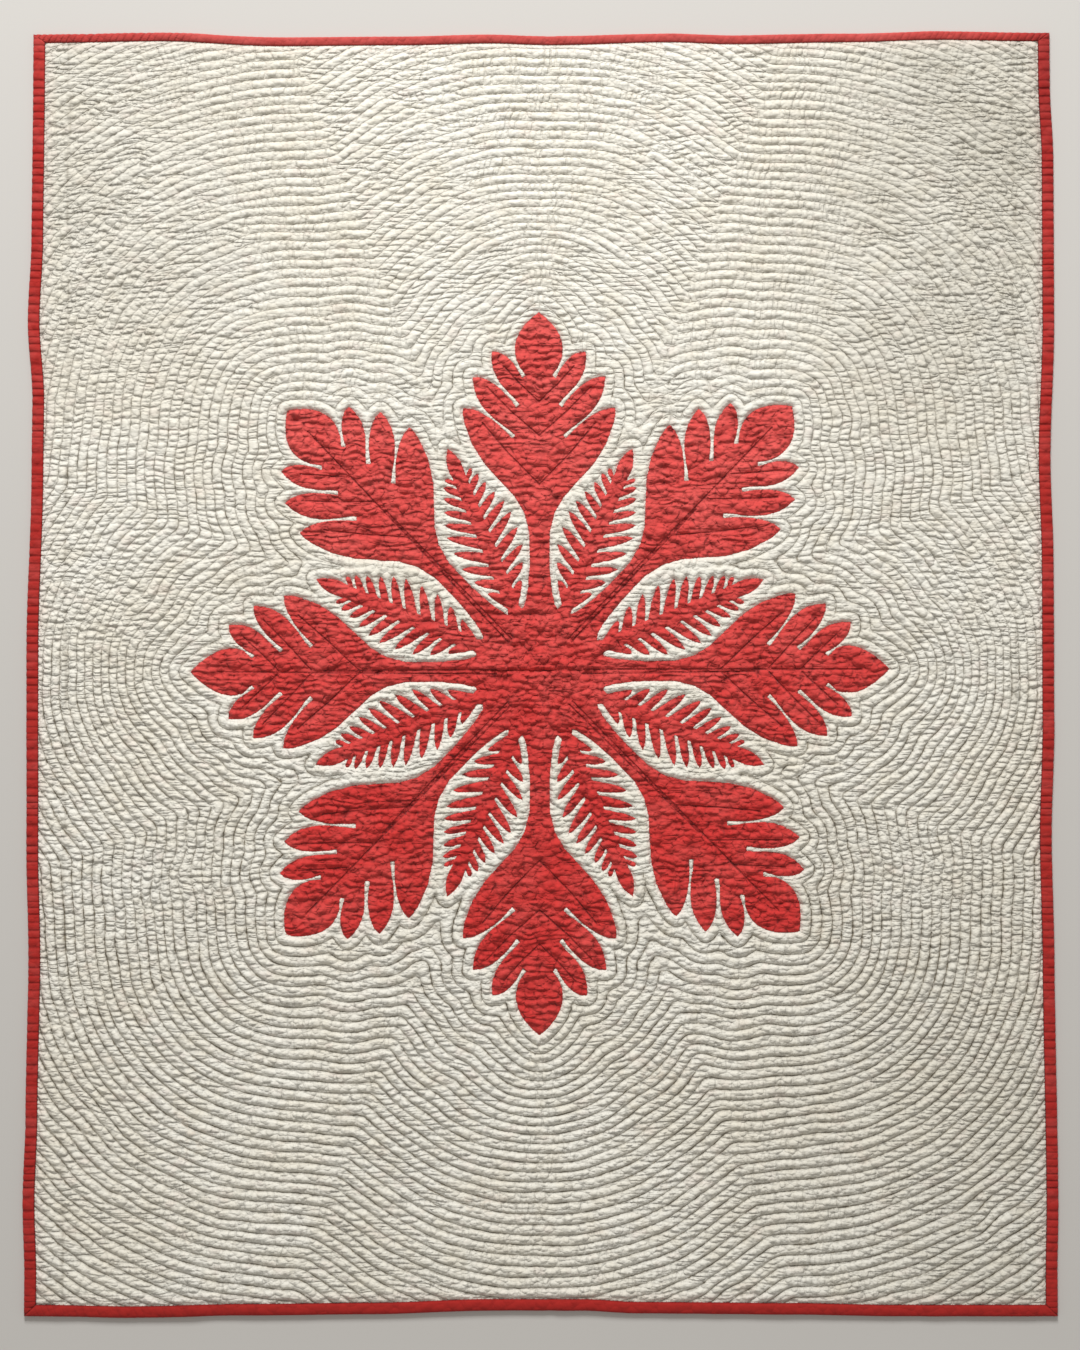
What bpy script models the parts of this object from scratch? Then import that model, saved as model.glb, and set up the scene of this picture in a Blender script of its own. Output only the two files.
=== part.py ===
"""A hawaiian quilt lying flat on a floor, at its real size.

White ground cloth, filling and backing are sewn together as one padded solid with a flat
underside. Lines of quilting echo the outline of the red motif, out to the edges. The motif is
one piece of red cloth, cut as eight breadfruit leaves and eight ferns round a centre, and lies
on the ground. Four red binding strips are folded round the edges and mitred at the corners.

Sizes are in millimetres up to the last step, which makes the meshes in metres.
The origin is on the floor under the middle of the quilt, +Y is the long way and +Z is up.
"""
import math

import bmesh
import bpy
import numpy as np
from mathutils import Vector, kdtree
from mathutils.geometry import delaunay_2d_cdt

MM = 0.001
GAP = 0.3
MERGE = 0.0001

# The quilt's straight outline, before its edges wander
HALF_WIDTH = 541.0
HALF_LENGTH = 675.5

# How far each edge wanders; the columns are the place along the edge and the distance outwards
EDGES = {
    "bottom": (
        (-524, 1.8), (-430, 3.3), (-304, 0.8), (-179, -0.4), (-53, -4.2), (41, -4.2), (104, -1.2),
        (260, -0.2), (370, 1.8), (511, 1.8),
    ),
    "right": (
        (-640, -0.5), (-556, 1.0), (-306, -1.4), (-180, -3.4), (-54, 0.2), (115, 0.6),
        (220, -2.0), (370, 3.0), (540, 3.3), (626, 0.0),
    ),
    "top": (
        (-525, 0.0), (-405, 1.8), (-278, -3.4), (-150, -2.4), (-54, -0.4), (9, -2.2),
        (137, 0.8), (201, -1.2), (328, 0.8), (424, 3.3), (520, 1.8),
    ),
    "left": (
        (-640, 0.0), (-556, 2.4), (-473, 0.0), (-306, -2.0), (-180, 1.0), (31, 2.2),
        (200, -1.8), (285, -2.2), (370, 3.3), (455, 0.0), (626, -0.8),
    ),
}

# Heights of the padded ground above the floor
VALLEY_Z = 3.6
CREST_Z = 6.0
PLATEAU_Z = 4.0
SEWN_EDGE_Z = 3.2

# Lines of quilting are closer at the top of the quilt than at the bottom. Places between them
# are counted in turns: 0 at the motif, a valley at each whole turn and a crest halfway.
ECHO_PITCH = 11.0
PITCH_SPREAD = 0.085
PLATEAU_TURNS = 0.3
RISE_TURNS = (0.43, 0.48)

# Binding, in section
CLOTH = 1.0
BINDING_WIDTH = 10.0
FOLD_TOP_Z = 4.7
FOLD_MIDDLE = 5.5
FOLD_CORNER = 1.3
SEAM_INSET = BINDING_WIDTH + 0.5
RAMP_WIDTH = 5.0
UNDERSIDE_STEP = 0.6
LINE_CLEARANCE = 2.0

# Motif
MOTIF_CENTRE = (-1.2, -3.2)
APPLIQUE_RIM = 1.0
APPLIQUE_PUFF = 1.2
PUFF_REACH = 5.0
PUFF_GRID = 24.0
SLOT_HALF_WIDTH = 1.3

# Each leaf; the columns are its turn in degrees and its tip's distance from the motif's centre
LEAVES = (
    (0.5, 369.0), (46.5, 388.0), (90.2, 379.0), (134.0, 385.0), (180.0, 369.0), (226.0, 385.0),
    (269.9, 382.0), (315.0, 386.0),
)
FERN_TURN = 22.5
LEAF_LENGTH = 383.0
GAP_END_RADIUS = 70.0
GAP_END_TURN = 12.2

# One side of a leaf's stem and flank, up to its lowest lobe, along and out from its axis
LEAF_FLANK = (
    (80, 12.7), (113, 10.6), (148, 11.1), (169, 16.4), (186, 26.4), (201, 40.1), (221, 58.1),
    (242, 71.3), (264, 79.2),
)

# A leaf's side lobes, lowest first; the columns are the lobe's tip along and out, the end of the
# slot above it along and out, and the bow of its upper and lower edges
LEAF_LOBES = (
    (280, 80.0, 250, 27.5, 2.8, 0.0),
    (314, 70.0, 283, 22.7, 4.6, 10.0),
    (340, 48.8, 314, 16.4, 4.2, 6.5),
)
TERMINAL_BOW = 16.5

# Lines of quilting on a leaf, from the midrib towards each lobe; the columns are the start along
# the midrib, and the end along and out
LEAF_VEINS = ((199, 265, 60), (251, 303, 55), (287, 325, 37))
MIDRIB_START = 120.0
MIDRIB_END = 350.0

# A fern, and the tips of its fingers on one side, lowest first, along and out from its axis
FERN_LENGTH = 255.0
FERN_BASE = (80.0, 7.0)
FERN_SPINE = 5.6
FERN_LEAFLET = 226.0
LEAFLET_BOW = 3.6
FINGER_LEAN = math.radians(55.0)
FINGER_BOW = 2.2
FERN_FINGERS = (
    (102, 18.0), (116, 28.5), (130, 33.0), (143, 36.4), (157, 37.5), (171, 37.0), (185, 33.5),
    (199, 27.5), (212, 21.0), (224, 16.4),
)

# How finely the lines of quilting are worked out and kept
FIELD_STEP = 2.5
OUTLINE_STEP = 2.0
NEAR_TOLERANCE = 1.7
FAR_TOLERANCE = 3.0
TOLERANCE_GROWTH = 0.5
SHORTEST_LINE = 120.0
SHORTEST_RIM_LINE = 25.0
FIELD_MARGIN = 5.0
LOBE_STEPS = 3
SLOT_STEPS = 2
TIP_STEPS = 4

RED = (0.50, 0.055, 0.048)
BINDING_RED = (0.46, 0.045, 0.042)
WHITE = (0.70, 0.67, 0.58)
COTTON_ROUGHNESS = 0.85
SHARP_ANGLE = math.radians(40.0)


def eased(rows, at):
    """Reads a table of two columns at any place, with a smooth step from row to row."""
    places = np.array([row[0] for row in rows], float)
    values = np.array([row[1] for row in rows], float)
    at = np.clip(at, places[0], places[-1])
    row = np.clip(np.searchsorted(places, at, side="right") - 1, 0, len(places) - 2)
    part = (at - places[row]) / (places[row + 1] - places[row])
    return values[row] + (values[row + 1] - values[row]) * part * part * (3 - 2 * part)


def edge_line(side, along):
    """Where an edge runs: y of the bottom or top at x, or x of the left or right at y."""
    half = HALF_LENGTH if side in ("bottom", "top") else HALF_WIDTH
    hand = 1 if side in ("right", "top") else -1
    return hand * (half + eased(EDGES[side], along))


def inset_at(points):
    """How far each point lies inside the quilt's outline."""
    x, y = points[:, 0], points[:, 1]
    across = np.minimum(x - edge_line("left", y), edge_line("right", y) - x)
    lengthways = np.minimum(y - edge_line("bottom", x), edge_line("top", x) - y)
    return np.minimum(across, lengthways)


def side_points(side, inset, mitre_gap=0.0):
    """Points along one side at an inset, from mitre to mitre, anticlockwise round the quilt."""
    level = side in ("bottom", "top")
    hand = 1 if side in ("right", "top") else -1
    before, after = ("left", "right") if level else ("bottom", "top")
    corner = hand * (HALF_LENGTH if level else HALF_WIDTH)
    start = edge_line(before, corner) + inset + mitre_gap
    end = edge_line(after, corner) - inset - mitre_gap
    along = np.array([start, *(row[0] for row in EDGES[side]), end], float)
    line = edge_line(side, along) - hand * inset
    points = np.column_stack((along, line) if level else (line, along))
    return points[::-1] if side in ("top", "left") else points


def frame_loop(inset):
    """A closed loop round the quilt at an inset, without its end points twice."""
    return np.concatenate([side_points(side, inset)[:-1] for side in EDGES])


def bowed(start, end, bow, steps):
    """An arc from start to end without its start; it leans to the left of travel by its bow."""
    start, end = np.array(start, float), np.array(end, float)
    run = end - start
    across = np.array((-run[1], run[0])) / np.hypot(*run)
    points = []
    for step in range(1, steps + 1):
        part = step / steps
        points.append(tuple(start + run * part + across * bow * 4 * part * (1 - part)))
    return points


def leaf_side(tip):
    """One side of a leaf from its stem to its tip, as distance along and out from its axis."""
    points = list(LEAF_FLANK)
    for tip_along, tip_out, slot_along, slot_out, upper_bow, lower_bow in LEAF_LOBES:
        lobe_tip = (tip_along, tip_out)
        if points[-1] == LEAF_FLANK[-1]:
            points.append(lobe_tip)
        else:
            points += bowed(points[-1], lobe_tip, lower_bow, LOBE_STEPS)
        slot_end = (slot_along - SLOT_HALF_WIDTH, slot_out + SLOT_HALF_WIDTH)
        points += bowed(lobe_tip, slot_end, upper_bow, SLOT_STEPS)
        points.append((slot_along + SLOT_HALF_WIDTH, slot_out - SLOT_HALF_WIDTH))
    points += bowed(points[-1], (LEAF_LENGTH, 0.0), TERMINAL_BOW, TIP_STEPS)
    return [(along * tip / LEAF_LENGTH, out) for along, out in points]


def fern_side():
    """One side of a fern from its base to its tip, as distance along and out from its axis."""
    points = [FERN_BASE]
    for tip_along, tip_out in FERN_FINGERS:
        root = tip_along - (tip_out - FERN_SPINE) / math.tan(FINGER_LEAN)
        points.append((root, FERN_SPINE))
        points += bowed(points[-1], (tip_along, tip_out), FINGER_BOW, SLOT_STEPS)
    points.append((FERN_LEAFLET, FERN_SPINE))
    return points + bowed(points[-1], (FERN_LENGTH, 0.0), LEAFLET_BOW, LOBE_STEPS)


def fern_reach():
    """One side of the shape that a fern's fingertips reach, which the quilting echoes."""
    return [FERN_BASE, *FERN_FINGERS, (FERN_LENGTH, 0.0)]


def turned(points, angle):
    """Turns distances along and out into places on the quilt, for an axis at an angle."""
    cos, sin = math.cos(angle), math.sin(angle)
    centre_x, centre_y = MOTIF_CENTRE
    return [(centre_x + a * cos - o * sin, centre_y + a * sin + o * cos) for a, o in points]


def both_sides(side):
    """Goes up the right side of a leaf or fern and down its left side."""
    right = [(along, -out) for along, out in side]
    return right + [(along, out) for along, out in reversed(side[:-1])]


def motif_outline(fern):
    """The motif's outline round one side of a leaf and of a fern, as one closed loop."""
    loop = []
    for number, (turn, tip) in enumerate(LEAVES):
        leaf_angle = math.radians(turn)
        fern_angle = math.radians(FERN_TURN * (2 * number + 1))
        loop += turned(both_sides(leaf_side(tip)), leaf_angle)
        loop += turned([(GAP_END_RADIUS, 0.0)], leaf_angle + math.radians(GAP_END_TURN))
        loop += turned(both_sides(fern), fern_angle)
        loop += turned([(GAP_END_RADIUS, 0.0)], fern_angle + math.radians(FERN_TURN - GAP_END_TURN))
    return np.array(loop)


def vein_lines():
    """The lines of quilting on the leaves, each a list of places on the quilt."""
    lines = []
    for turn, tip in LEAVES:
        angle = math.radians(turn)
        stretch = tip / LEAF_LENGTH
        starts = [MIDRIB_START] + [vein[0] * stretch for vein in LEAF_VEINS] + [MIDRIB_END * stretch]
        lines.append(turned([(start, 0.0) for start in starts], angle))
        for start_along, end_along, end_out in LEAF_VEINS:
            for hand in (-1, 1):
                start = (start_along * stretch, 0.0)
                end = (end_along * stretch, end_out * hand)
                lines.append(turned([start, end], angle))
    return lines


def dense(line, step):
    """Adds points along a line of points, no further apart than a step."""
    points = []
    for start, end in zip(line[:-1], line[1:]):
        start, end = np.array(start, float), np.array(end, float)
        pieces = max(1, math.ceil(np.hypot(*(end - start)) / step))
        points += [start + (end - start) * k / pieces for k in range(pieces)]
    points.append(np.array(line[-1], float))
    return np.array(points)


def nearest(points, targets):
    """The distance from each point to the nearest target."""
    tree = kdtree.KDTree(len(targets))
    for index, (x, y) in enumerate(targets):
        tree.insert((x, y, 0.0), index)
    tree.balance()
    return np.array([tree.find((x, y, 0.0))[2] for x, y in points])


def is_inside(points, loop):
    """Which points lie inside a closed loop, counted by the sides crossed on the way out."""
    inside = np.zeros(len(points), bool)
    x, y = points[:, 0], points[:, 1]
    for (x0, y0), (x1, y1) in zip(loop, np.roll(loop, -1, axis=0)):
        if y0 == y1:
            continue
        rows = np.nonzero((y > min(y0, y1)) & (y <= max(y0, y1)))[0]
        crossing = x0 + (y[rows] - y0) * (x1 - x0) / (y1 - y0)
        inside[rows] ^= crossing > x[rows]
    return inside


def echo_turns(points, outline, samples):
    """How many lines of quilting each point is out from the motif; 0 on the motif."""
    pitch = ECHO_PITCH * (1.0 - PITCH_SPREAD * points[:, 1] / HALF_LENGTH)
    turns = nearest(points, samples) / pitch
    turns[is_inside(points, outline)] = 0.0
    return turns


def contour_lines(field, level, xs, ys):
    """Traces where a field on a grid crosses a level, as lists of points."""
    above = field > level
    columns = len(xs)
    places = {}
    for rows, cols, down in (
        (*np.nonzero(above[:, 1:] != above[:, :-1]), 0),
        (*np.nonzero(above[1:, :] != above[:-1, :]), 1),
    ):
        start = field[rows, cols]
        end = field[rows + down, cols + 1 - down]
        part = (level - start) / (end - start)
        x = xs[cols] + part * FIELD_STEP * (1 - down)
        y = ys[rows] + part * FIELD_STEP * down
        keys = 2 * (rows * columns + cols) + down
        places.update(zip(keys.tolist(), zip(x.tolist(), y.tolist())))
    links = {key: [] for key in places}
    corners = above[:-1, :-1] * 1 + above[:-1, 1:] * 2 + above[1:, :-1] * 4 + above[1:, 1:] * 8
    for row, col in zip(*np.nonzero((corners > 0) & (corners < 15))):
        low = 2 * (row * columns + col)
        sides = [k for k in (low, low + 1, low + 2 * columns, low + 3) if k in places]
        for first, second in zip(sides[::2], sides[1::2]):
            links[first].append(second)
            links[second].append(first)
    lines = []
    todo = sorted(places, key=lambda key: (len(links[key]), key))
    used = set()
    for first in todo:
        if first in used:
            continue
        line = [first]
        used.add(first)
        step = first
        while True:
            ahead = [key for key in links[step] if key not in used]
            if not ahead:
                break
            step = ahead[0]
            used.add(step)
            line.append(step)
        if len(line) > 2 and first in links[step]:
            line.append(first)
        lines.append(np.array([places[key] for key in line]))
    return lines


def simplified(line, tolerance):
    """Keeps only the points that a line needs to stay within a tolerance of its shape."""
    keep = {0, len(line) - 1}
    spans = [(0, len(line) - 1)]
    if np.allclose(line[0], line[-1]):
        far = int(np.argmax(np.hypot(*(line - line[0]).T)))
        keep.add(far)
        spans = [(0, far), (far, len(line) - 1)]
    while spans:
        first, last = spans.pop()
        if last - first < 2:
            continue
        run = line[last] - line[first]
        offsets = line[first + 1:last] - line[first]
        away = np.abs(run[0] * offsets[:, 1] - run[1] * offsets[:, 0]) / max(np.hypot(*run), 1e-9)
        worst = int(np.argmax(away))
        if away[worst] > tolerance:
            middle = first + 1 + worst
            keep.add(middle)
            spans += [(first, middle), (middle, last)]
    return line[sorted(keep)]


def ground_height(turns, inset):
    """The ground's top: a plateau at the motif, then ridges between the lines of quilting."""
    rise = 1.0 - np.abs(2.0 * (turns % 1.0) - 1.0)
    ridges = VALLEY_Z + (CREST_Z - VALLEY_Z) * rise
    start, end = RISE_TURNS
    first = np.clip((turns - start) / (end - start), 0.0, 1.0)
    near = PLATEAU_Z + (CREST_Z - PLATEAU_Z) * first
    height = np.where(turns < 0.5, near, ridges)
    ramp = np.clip((inset - SEAM_INSET) / RAMP_WIDTH, 0.0, 1.0)
    return SEWN_EDGE_Z + (height - SEWN_EDGE_Z) * ramp


def material(name, colour):
    """A matt cloth of one colour."""
    made = bpy.data.materials.new(name)
    made.use_nodes = True
    shader = made.node_tree.nodes["Principled BSDF"]
    shader.inputs["Base Color"].default_value = (*colour, 1.0)
    shader.inputs["Roughness"].default_value = COTTON_ROUGHNESS
    shader.inputs["Metallic"].default_value = 0.0
    return made


def add_object(name, vertices, faces, collection, finish):
    """Makes a mesh in metres from vertices in millimetres."""
    mesh = bpy.data.meshes.new(name)
    mesh.from_pydata([(x * MM, y * MM, z * MM) for x, y, z in vertices], [], faces)
    mesh.materials.append(finish)
    work = bmesh.new()
    work.from_mesh(mesh)
    bmesh.ops.recalc_face_normals(work, faces=work.faces)
    work.to_mesh(mesh)
    work.free()
    mesh.shade_smooth()
    mesh.set_sharp_from_angle(angle=SHARP_ANGLE)
    made = bpy.data.objects.new(name, mesh)
    collection.objects.link(made)
    return made


def triangulated(points, lines, boundary):
    """Splits the area inside a boundary into triangles that keep every given line."""
    vertices = [Vector(point) for point in points]
    result = delaunay_2d_cdt(vertices, lines, [boundary], 1, MERGE)
    flat = np.array([(v.x, v.y) for v in result[0]])
    return flat, [tuple(face) for face in result[2]], result[3]


def chain(points, lines, line, closed=False):
    """Adds a line's points and its edges to the lists for triangulation."""
    first = len(points)
    points += [tuple(point) for point in line]
    lines += [(first + k, first + k + 1) for k in range(len(line) - 1)]
    if closed:
        lines.append((first + len(line) - 1, first))
    return list(range(first, first + len(line)))


def echo_lines(outline, samples):
    """The crests and valleys of the echo quilting, simplified, clear of the binding."""
    xs = np.arange(-HALF_WIDTH - FIELD_MARGIN, HALF_WIDTH + FIELD_MARGIN, FIELD_STEP)
    ys = np.arange(-HALF_LENGTH - FIELD_MARGIN, HALF_LENGTH + FIELD_MARGIN, FIELD_STEP)
    grid_x, grid_y = np.meshgrid(xs, ys)
    places = np.column_stack((grid_x.ravel(), grid_y.ravel()))
    field = echo_turns(places, outline, samples).reshape(grid_x.shape)
    levels = [PLATEAU_TURNS] + [0.5 * k for k in range(1, int(2 * field.max()) + 1)]
    kept = []
    for level in levels:
        shortest = SHORTEST_RIM_LINE if level == PLATEAU_TURNS else SHORTEST_LINE
        tolerance = min(FAR_TOLERANCE, NEAR_TOLERANCE + TOLERANCE_GROWTH * level)
        for line in contour_lines(field, level, xs, ys):
            clear = inset_at(line) > BINDING_WIDTH + LINE_CLEARANCE
            cuts = np.nonzero(clear[1:] != clear[:-1])[0] + 1
            for run in np.split(np.arange(len(line)), cuts):
                if clear[run[0]] and len(run) * FIELD_STEP > shortest:
                    kept.append(simplified(line[run], tolerance))
    return kept


def make_ground(outline, collection):
    """The padded ground: ridged top, thin rim inside the binding, flat underside."""
    samples = dense([*outline, outline[0]], OUTLINE_STEP)
    points, lines = [], []
    rim = chain(points, lines, frame_loop(CLOTH + GAP), closed=True)
    chain(points, lines, frame_loop(SEAM_INSET), closed=True)
    chain(points, lines, frame_loop(SEAM_INSET + RAMP_WIDTH), closed=True)
    for line in echo_lines(outline, samples):
        if np.allclose(line[0], line[-1]):
            chain(points, lines, line[:-1], closed=True)
        else:
            chain(points, lines, line)
    flat, faces, sources = triangulated(points, lines, rim)
    turns = echo_turns(flat, outline, samples)
    tops = ground_height(turns, inset_at(flat))
    vertices = [(x, y, z) for (x, y), z in zip(flat, tops)]
    rim_now = {source: index for index, found in enumerate(sources) for source in found}
    upper = [rim_now[index] for index in rim]
    leg_top = CLOTH + GAP
    below = ((leg_top, leg_top), (SEAM_INSET, leg_top), (SEAM_INSET + UNDERSIDE_STEP, 0.0))
    for inset, height in below:
        lower = list(range(len(vertices), len(vertices) + len(rim)))
        vertices += [(x, y, height) for x, y in frame_loop(inset)]
        for k in range(len(rim)):
            after = (k + 1) % len(rim)
            faces.append((upper[k], upper[after], lower[after], lower[k]))
        upper = lower
    faces.append(tuple(upper))
    return add_object("quilted_ground", vertices, faces, collection, material("white_cotton", WHITE))


def make_applique(outline, collection):
    """The red motif: one sheet of cloth on the ground, puffed between its sewn lines."""
    points, lines = [], []
    boundary = chain(points, lines, outline, closed=True)
    veins = vein_lines()
    for vein in veins:
        chain(points, lines, vein)
    edge = dense([*outline, outline[0]], OUTLINE_STEP)
    sewn = np.concatenate([edge] + [dense(vein, OUTLINE_STEP) for vein in veins])
    reach = max(tip for _, tip in LEAVES)
    ticks = np.arange(-reach, reach, PUFF_GRID)
    grid_x, grid_y = np.meshgrid(ticks, ticks)
    grid_x = grid_x + np.where(np.arange(len(ticks)) % 2, 0.5 * PUFF_GRID, 0.0)[:, None]
    places = np.column_stack((grid_x.ravel(), grid_y.ravel())) + np.array(MOTIF_CENTRE)
    roomy = is_inside(places, outline) & (nearest(places, sewn) > PUFF_REACH)
    points += [tuple(place) for place in places[roomy]]
    flat, faces, sources = triangulated(points, lines, boundary)
    away = nearest(flat, sewn)
    puff = APPLIQUE_PUFF * (1.0 - np.exp(-((away / PUFF_REACH) ** 2)))
    underside = PLATEAU_Z + GAP
    vertices = [(x, y, underside + APPLIQUE_RIM + p) for (x, y), p in zip(flat, puff)]
    rim_now = {source: index for index, found in enumerate(sources) for source in found}
    upper = [rim_now[index] for index in boundary]
    first = len(vertices)
    vertices += [(*flat[index], underside) for index in upper]
    for k in range(len(upper)):
        after = (k + 1) % len(upper)
        faces.append((upper[k], upper[after], first + after, first + k))
    faces.append(tuple(range(first, first + len(upper))))
    return add_object("applique_motif", vertices, faces, collection, material("red_cotton", RED))


def make_binding(side, collection, finish):
    """One strip of binding, folded round its edge and mitred at both ends."""
    lower_z, upper_z = CLOTH, SEWN_EDGE_Z + GAP
    top_z = upper_z + CLOTH
    section = (
        (BINDING_WIDTH, 0.0), (FOLD_CORNER, 0.0), (0.0, FOLD_CORNER), (0.0, top_z - FOLD_CORNER),
        (FOLD_CORNER, top_z), (FOLD_MIDDLE, FOLD_TOP_Z), (BINDING_WIDTH, top_z),
        (BINDING_WIDTH, upper_z), (CLOTH, upper_z), (CLOTH, lower_z), (BINDING_WIDTH, lower_z),
    )
    rows = [side_points(side, inset, GAP) for inset, _ in section]
    stations = len(rows[0])
    vertices = []
    for station in range(stations):
        vertices += [(*row[station], height) for row, (_, height) in zip(rows, section)]
    count = len(section)
    faces = [tuple(range(count)), tuple(range(len(vertices) - 1, len(vertices) - 1 - count, -1))]
    for station in range(stations - 1):
        for k in range(count):
            here, there = station * count + k, station * count + (k + 1) % count
            faces.append((here, here + count, there + count, there))
    return add_object("binding_" + side, vertices, faces, collection, finish)


def main():
    for old in list(bpy.data.objects):
        bpy.data.objects.remove(old, do_unlink=True)
    quilt = bpy.data.collections.new("hawaiian_quilt")
    bpy.context.scene.collection.children.link(quilt)
    ground = make_ground(motif_outline(fern_reach()), quilt)
    motif = make_applique(motif_outline(fern_side()), quilt)
    binding_cloth = material("red_binding", BINDING_RED)
    strips = [make_binding(side, quilt, binding_cloth) for side in EDGES]
    for made in (ground, motif, *strips):
        triangles = sum(len(face.vertices) - 2 for face in made.data.polygons)
        print(made.name, triangles, "triangles")


main()
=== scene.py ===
# %% [markdown]
# # A hawaiian quilt, lying flat
#
# The object is a bed cover for a crib or a wall: a white ground cloth with filling and backing
# under it, one red motif of eight leaves and eight ferns sewn on top, and a red binding folded
# round the edge. What makes it look like a quilt is the relief. Lines of running stitch echo the
# motif all the way out, and the cloth between them stands up in soft rolls.
#
# The lesson builds it in the order of a quilter: the outline, the motif, the lines of quilting,
# the ground, the applique, the binding, the thread, and then the finish of each cloth.
# Sizes are in millimetres until a mesh is made.

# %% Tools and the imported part
import math

import bmesh
import bpy
import numpy as np
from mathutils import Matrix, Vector, kdtree
from mathutils.geometry import delaunay_2d_cdt


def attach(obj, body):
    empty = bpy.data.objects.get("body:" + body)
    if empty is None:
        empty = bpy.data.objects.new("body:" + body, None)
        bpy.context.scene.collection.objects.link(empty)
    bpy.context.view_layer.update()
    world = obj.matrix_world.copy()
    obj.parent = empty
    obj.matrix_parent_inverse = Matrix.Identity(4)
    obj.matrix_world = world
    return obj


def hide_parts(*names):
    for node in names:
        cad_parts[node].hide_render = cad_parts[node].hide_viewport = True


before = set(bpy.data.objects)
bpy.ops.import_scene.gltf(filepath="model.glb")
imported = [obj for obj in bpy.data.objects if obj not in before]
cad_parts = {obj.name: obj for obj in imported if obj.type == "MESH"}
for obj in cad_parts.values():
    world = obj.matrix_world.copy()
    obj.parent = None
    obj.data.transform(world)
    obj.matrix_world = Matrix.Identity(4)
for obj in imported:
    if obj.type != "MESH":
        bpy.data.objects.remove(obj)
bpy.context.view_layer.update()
MM = 0.001

# %% [markdown]
# ## The outline of the quilt
#
# A quilt that has been washed is never a true rectangle. Its edges wander by a few millimetres,
# so each edge is a straight line plus a short table of places and offsets. A smooth step from row
# to row gives the soft swing that a sewn edge has. Straight lines between the rows would show as
# corners, and a spline could overshoot the widest place.

# %% Edges that wander
HALF_WIDTH = 541.0
HALF_LENGTH = 675.5
BINDING_WIDTH = {"bottom": 12.4, "right": 13.0, "top": 9.6, "left": 13.0}
EDGES = {
    "bottom": (
        (-524, 1.8), (-430, 3.3), (-304, 0.8), (-179, -0.4), (-53, -4.2), (41, -4.2), (104, -1.2),
        (260, -0.2), (370, 1.8), (511, 1.8),
    ),
    "right": (
        (-640, -0.5), (-556, 1.0), (-306, -1.4), (-180, -3.4), (-54, 0.2), (115, 0.6),
        (220, -2.0), (370, 3.0), (540, 3.3), (626, 0.0),
    ),
    "top": (
        (-525, 0.0), (-405, 1.8), (-278, -3.4), (-150, -2.4), (-54, -0.4), (9, -2.2),
        (137, 0.8), (201, -1.2), (328, 0.8), (424, 3.3), (520, 1.8),
    ),
    "left": (
        (-640, 0.0), (-556, 2.4), (-473, 0.0), (-306, -2.0), (-180, 1.0), (31, 2.2),
        (200, -1.8), (285, -2.2), (370, 3.3), (455, 0.0), (626, -0.8),
    ),
}


def eased(rows, at):
    """Reads a table of two columns at any place, with a smooth step from row to row."""
    places = np.array([row[0] for row in rows], float)
    values = np.array([row[1] for row in rows], float)
    at = np.clip(at, places[0], places[-1])
    row = np.clip(np.searchsorted(places, at, side="right") - 1, 0, len(places) - 2)
    part = (at - places[row]) / (places[row + 1] - places[row])
    return values[row] + (values[row + 1] - values[row]) * part * part * (3 - 2 * part)


def edge_line(side, along):
    """Where an edge runs: y of the bottom or top at x, or x of the left or right at y."""
    half = HALF_LENGTH if side in ("bottom", "top") else HALF_WIDTH
    hand = 1 if side in ("right", "top") else -1
    return hand * (half + eased(EDGES[side], along))


def inside_binding(x, y):
    """How far a place lies inside the inner edge of the binding; less than 0 is under it."""
    distances = (
        x - edge_line("left", y) - BINDING_WIDTH["left"],
        edge_line("right", y) - x - BINDING_WIDTH["right"],
        y - edge_line("bottom", x) - BINDING_WIDTH["bottom"],
        edge_line("top", x) - y - BINDING_WIDTH["top"],
    )
    return np.minimum.reduce(distances)


print("the edges wander by up to", max(abs(row[1]) for rows in EDGES.values() for row in rows), "mm")

# %% [markdown]
# ## The unevenness of cloth
#
# Everything sewn by hand drifts a little. One small function gives smooth random values on a
# plane: random numbers on a lattice, joined with smooth steps. Its seed is fixed, so each run
# makes the same quilt. A second one adds up a few of them, coarse and fine, from a table, and a
# third follows a line. Blender's own noise would do as well, but it takes one point for each
# call, and here a third of a million points are needed at once.

# %% Smooth random values
LATTICE = 512
lattices = {}


def uneven(x, y, seed):
    """Smooth random values from -1 to 1, about one swing for each whole step of x and y."""
    if seed not in lattices:
        lattices[seed] = np.random.default_rng(seed).uniform(-1.0, 1.0, (LATTICE, LATTICE))
    table = lattices[seed]
    column, row = np.floor(x).astype(int), np.floor(y).astype(int)
    across, up = x - column, y - row
    across, up = across * across * (3 - 2 * across), up * up * (3 - 2 * up)
    left, right = column % LATTICE, (column + 1) % LATTICE
    low, high = row % LATTICE, (row + 1) % LATTICE
    bottom = table[low, left] * (1 - across) + table[low, right] * across
    top = table[high, left] * (1 - across) + table[high, right] * across
    return bottom * (1 - up) + top * up


def smooth_step(low, high, value):
    """0 below low, 1 above high, and a smooth rise between."""
    part = np.clip((value - low) / (high - low), 0.0, 1.0)
    return part * part * (3 - 2 * part)


def waves(x, y, rows):
    """Adds up smooth random values; each row gives a share, a width, a height and a seed."""
    return sum(share * uneven(x / width, y / height, seed) for share, width, height, seed in rows)


def waver(along, width, seed, row=0.0):
    """Smooth random values along a line, from one row of the lattice."""
    return uneven(along / width, along * 0.0 + row, seed)


SWELL = ((0.35, 190.0, 190.0, 11), (0.2, 62.0, 62.0, 12))


def swell(x, y):
    """The slow rise and fall of the whole quilt where it doesn't lie quite flat."""
    return waves(x, y, SWELL)


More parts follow.
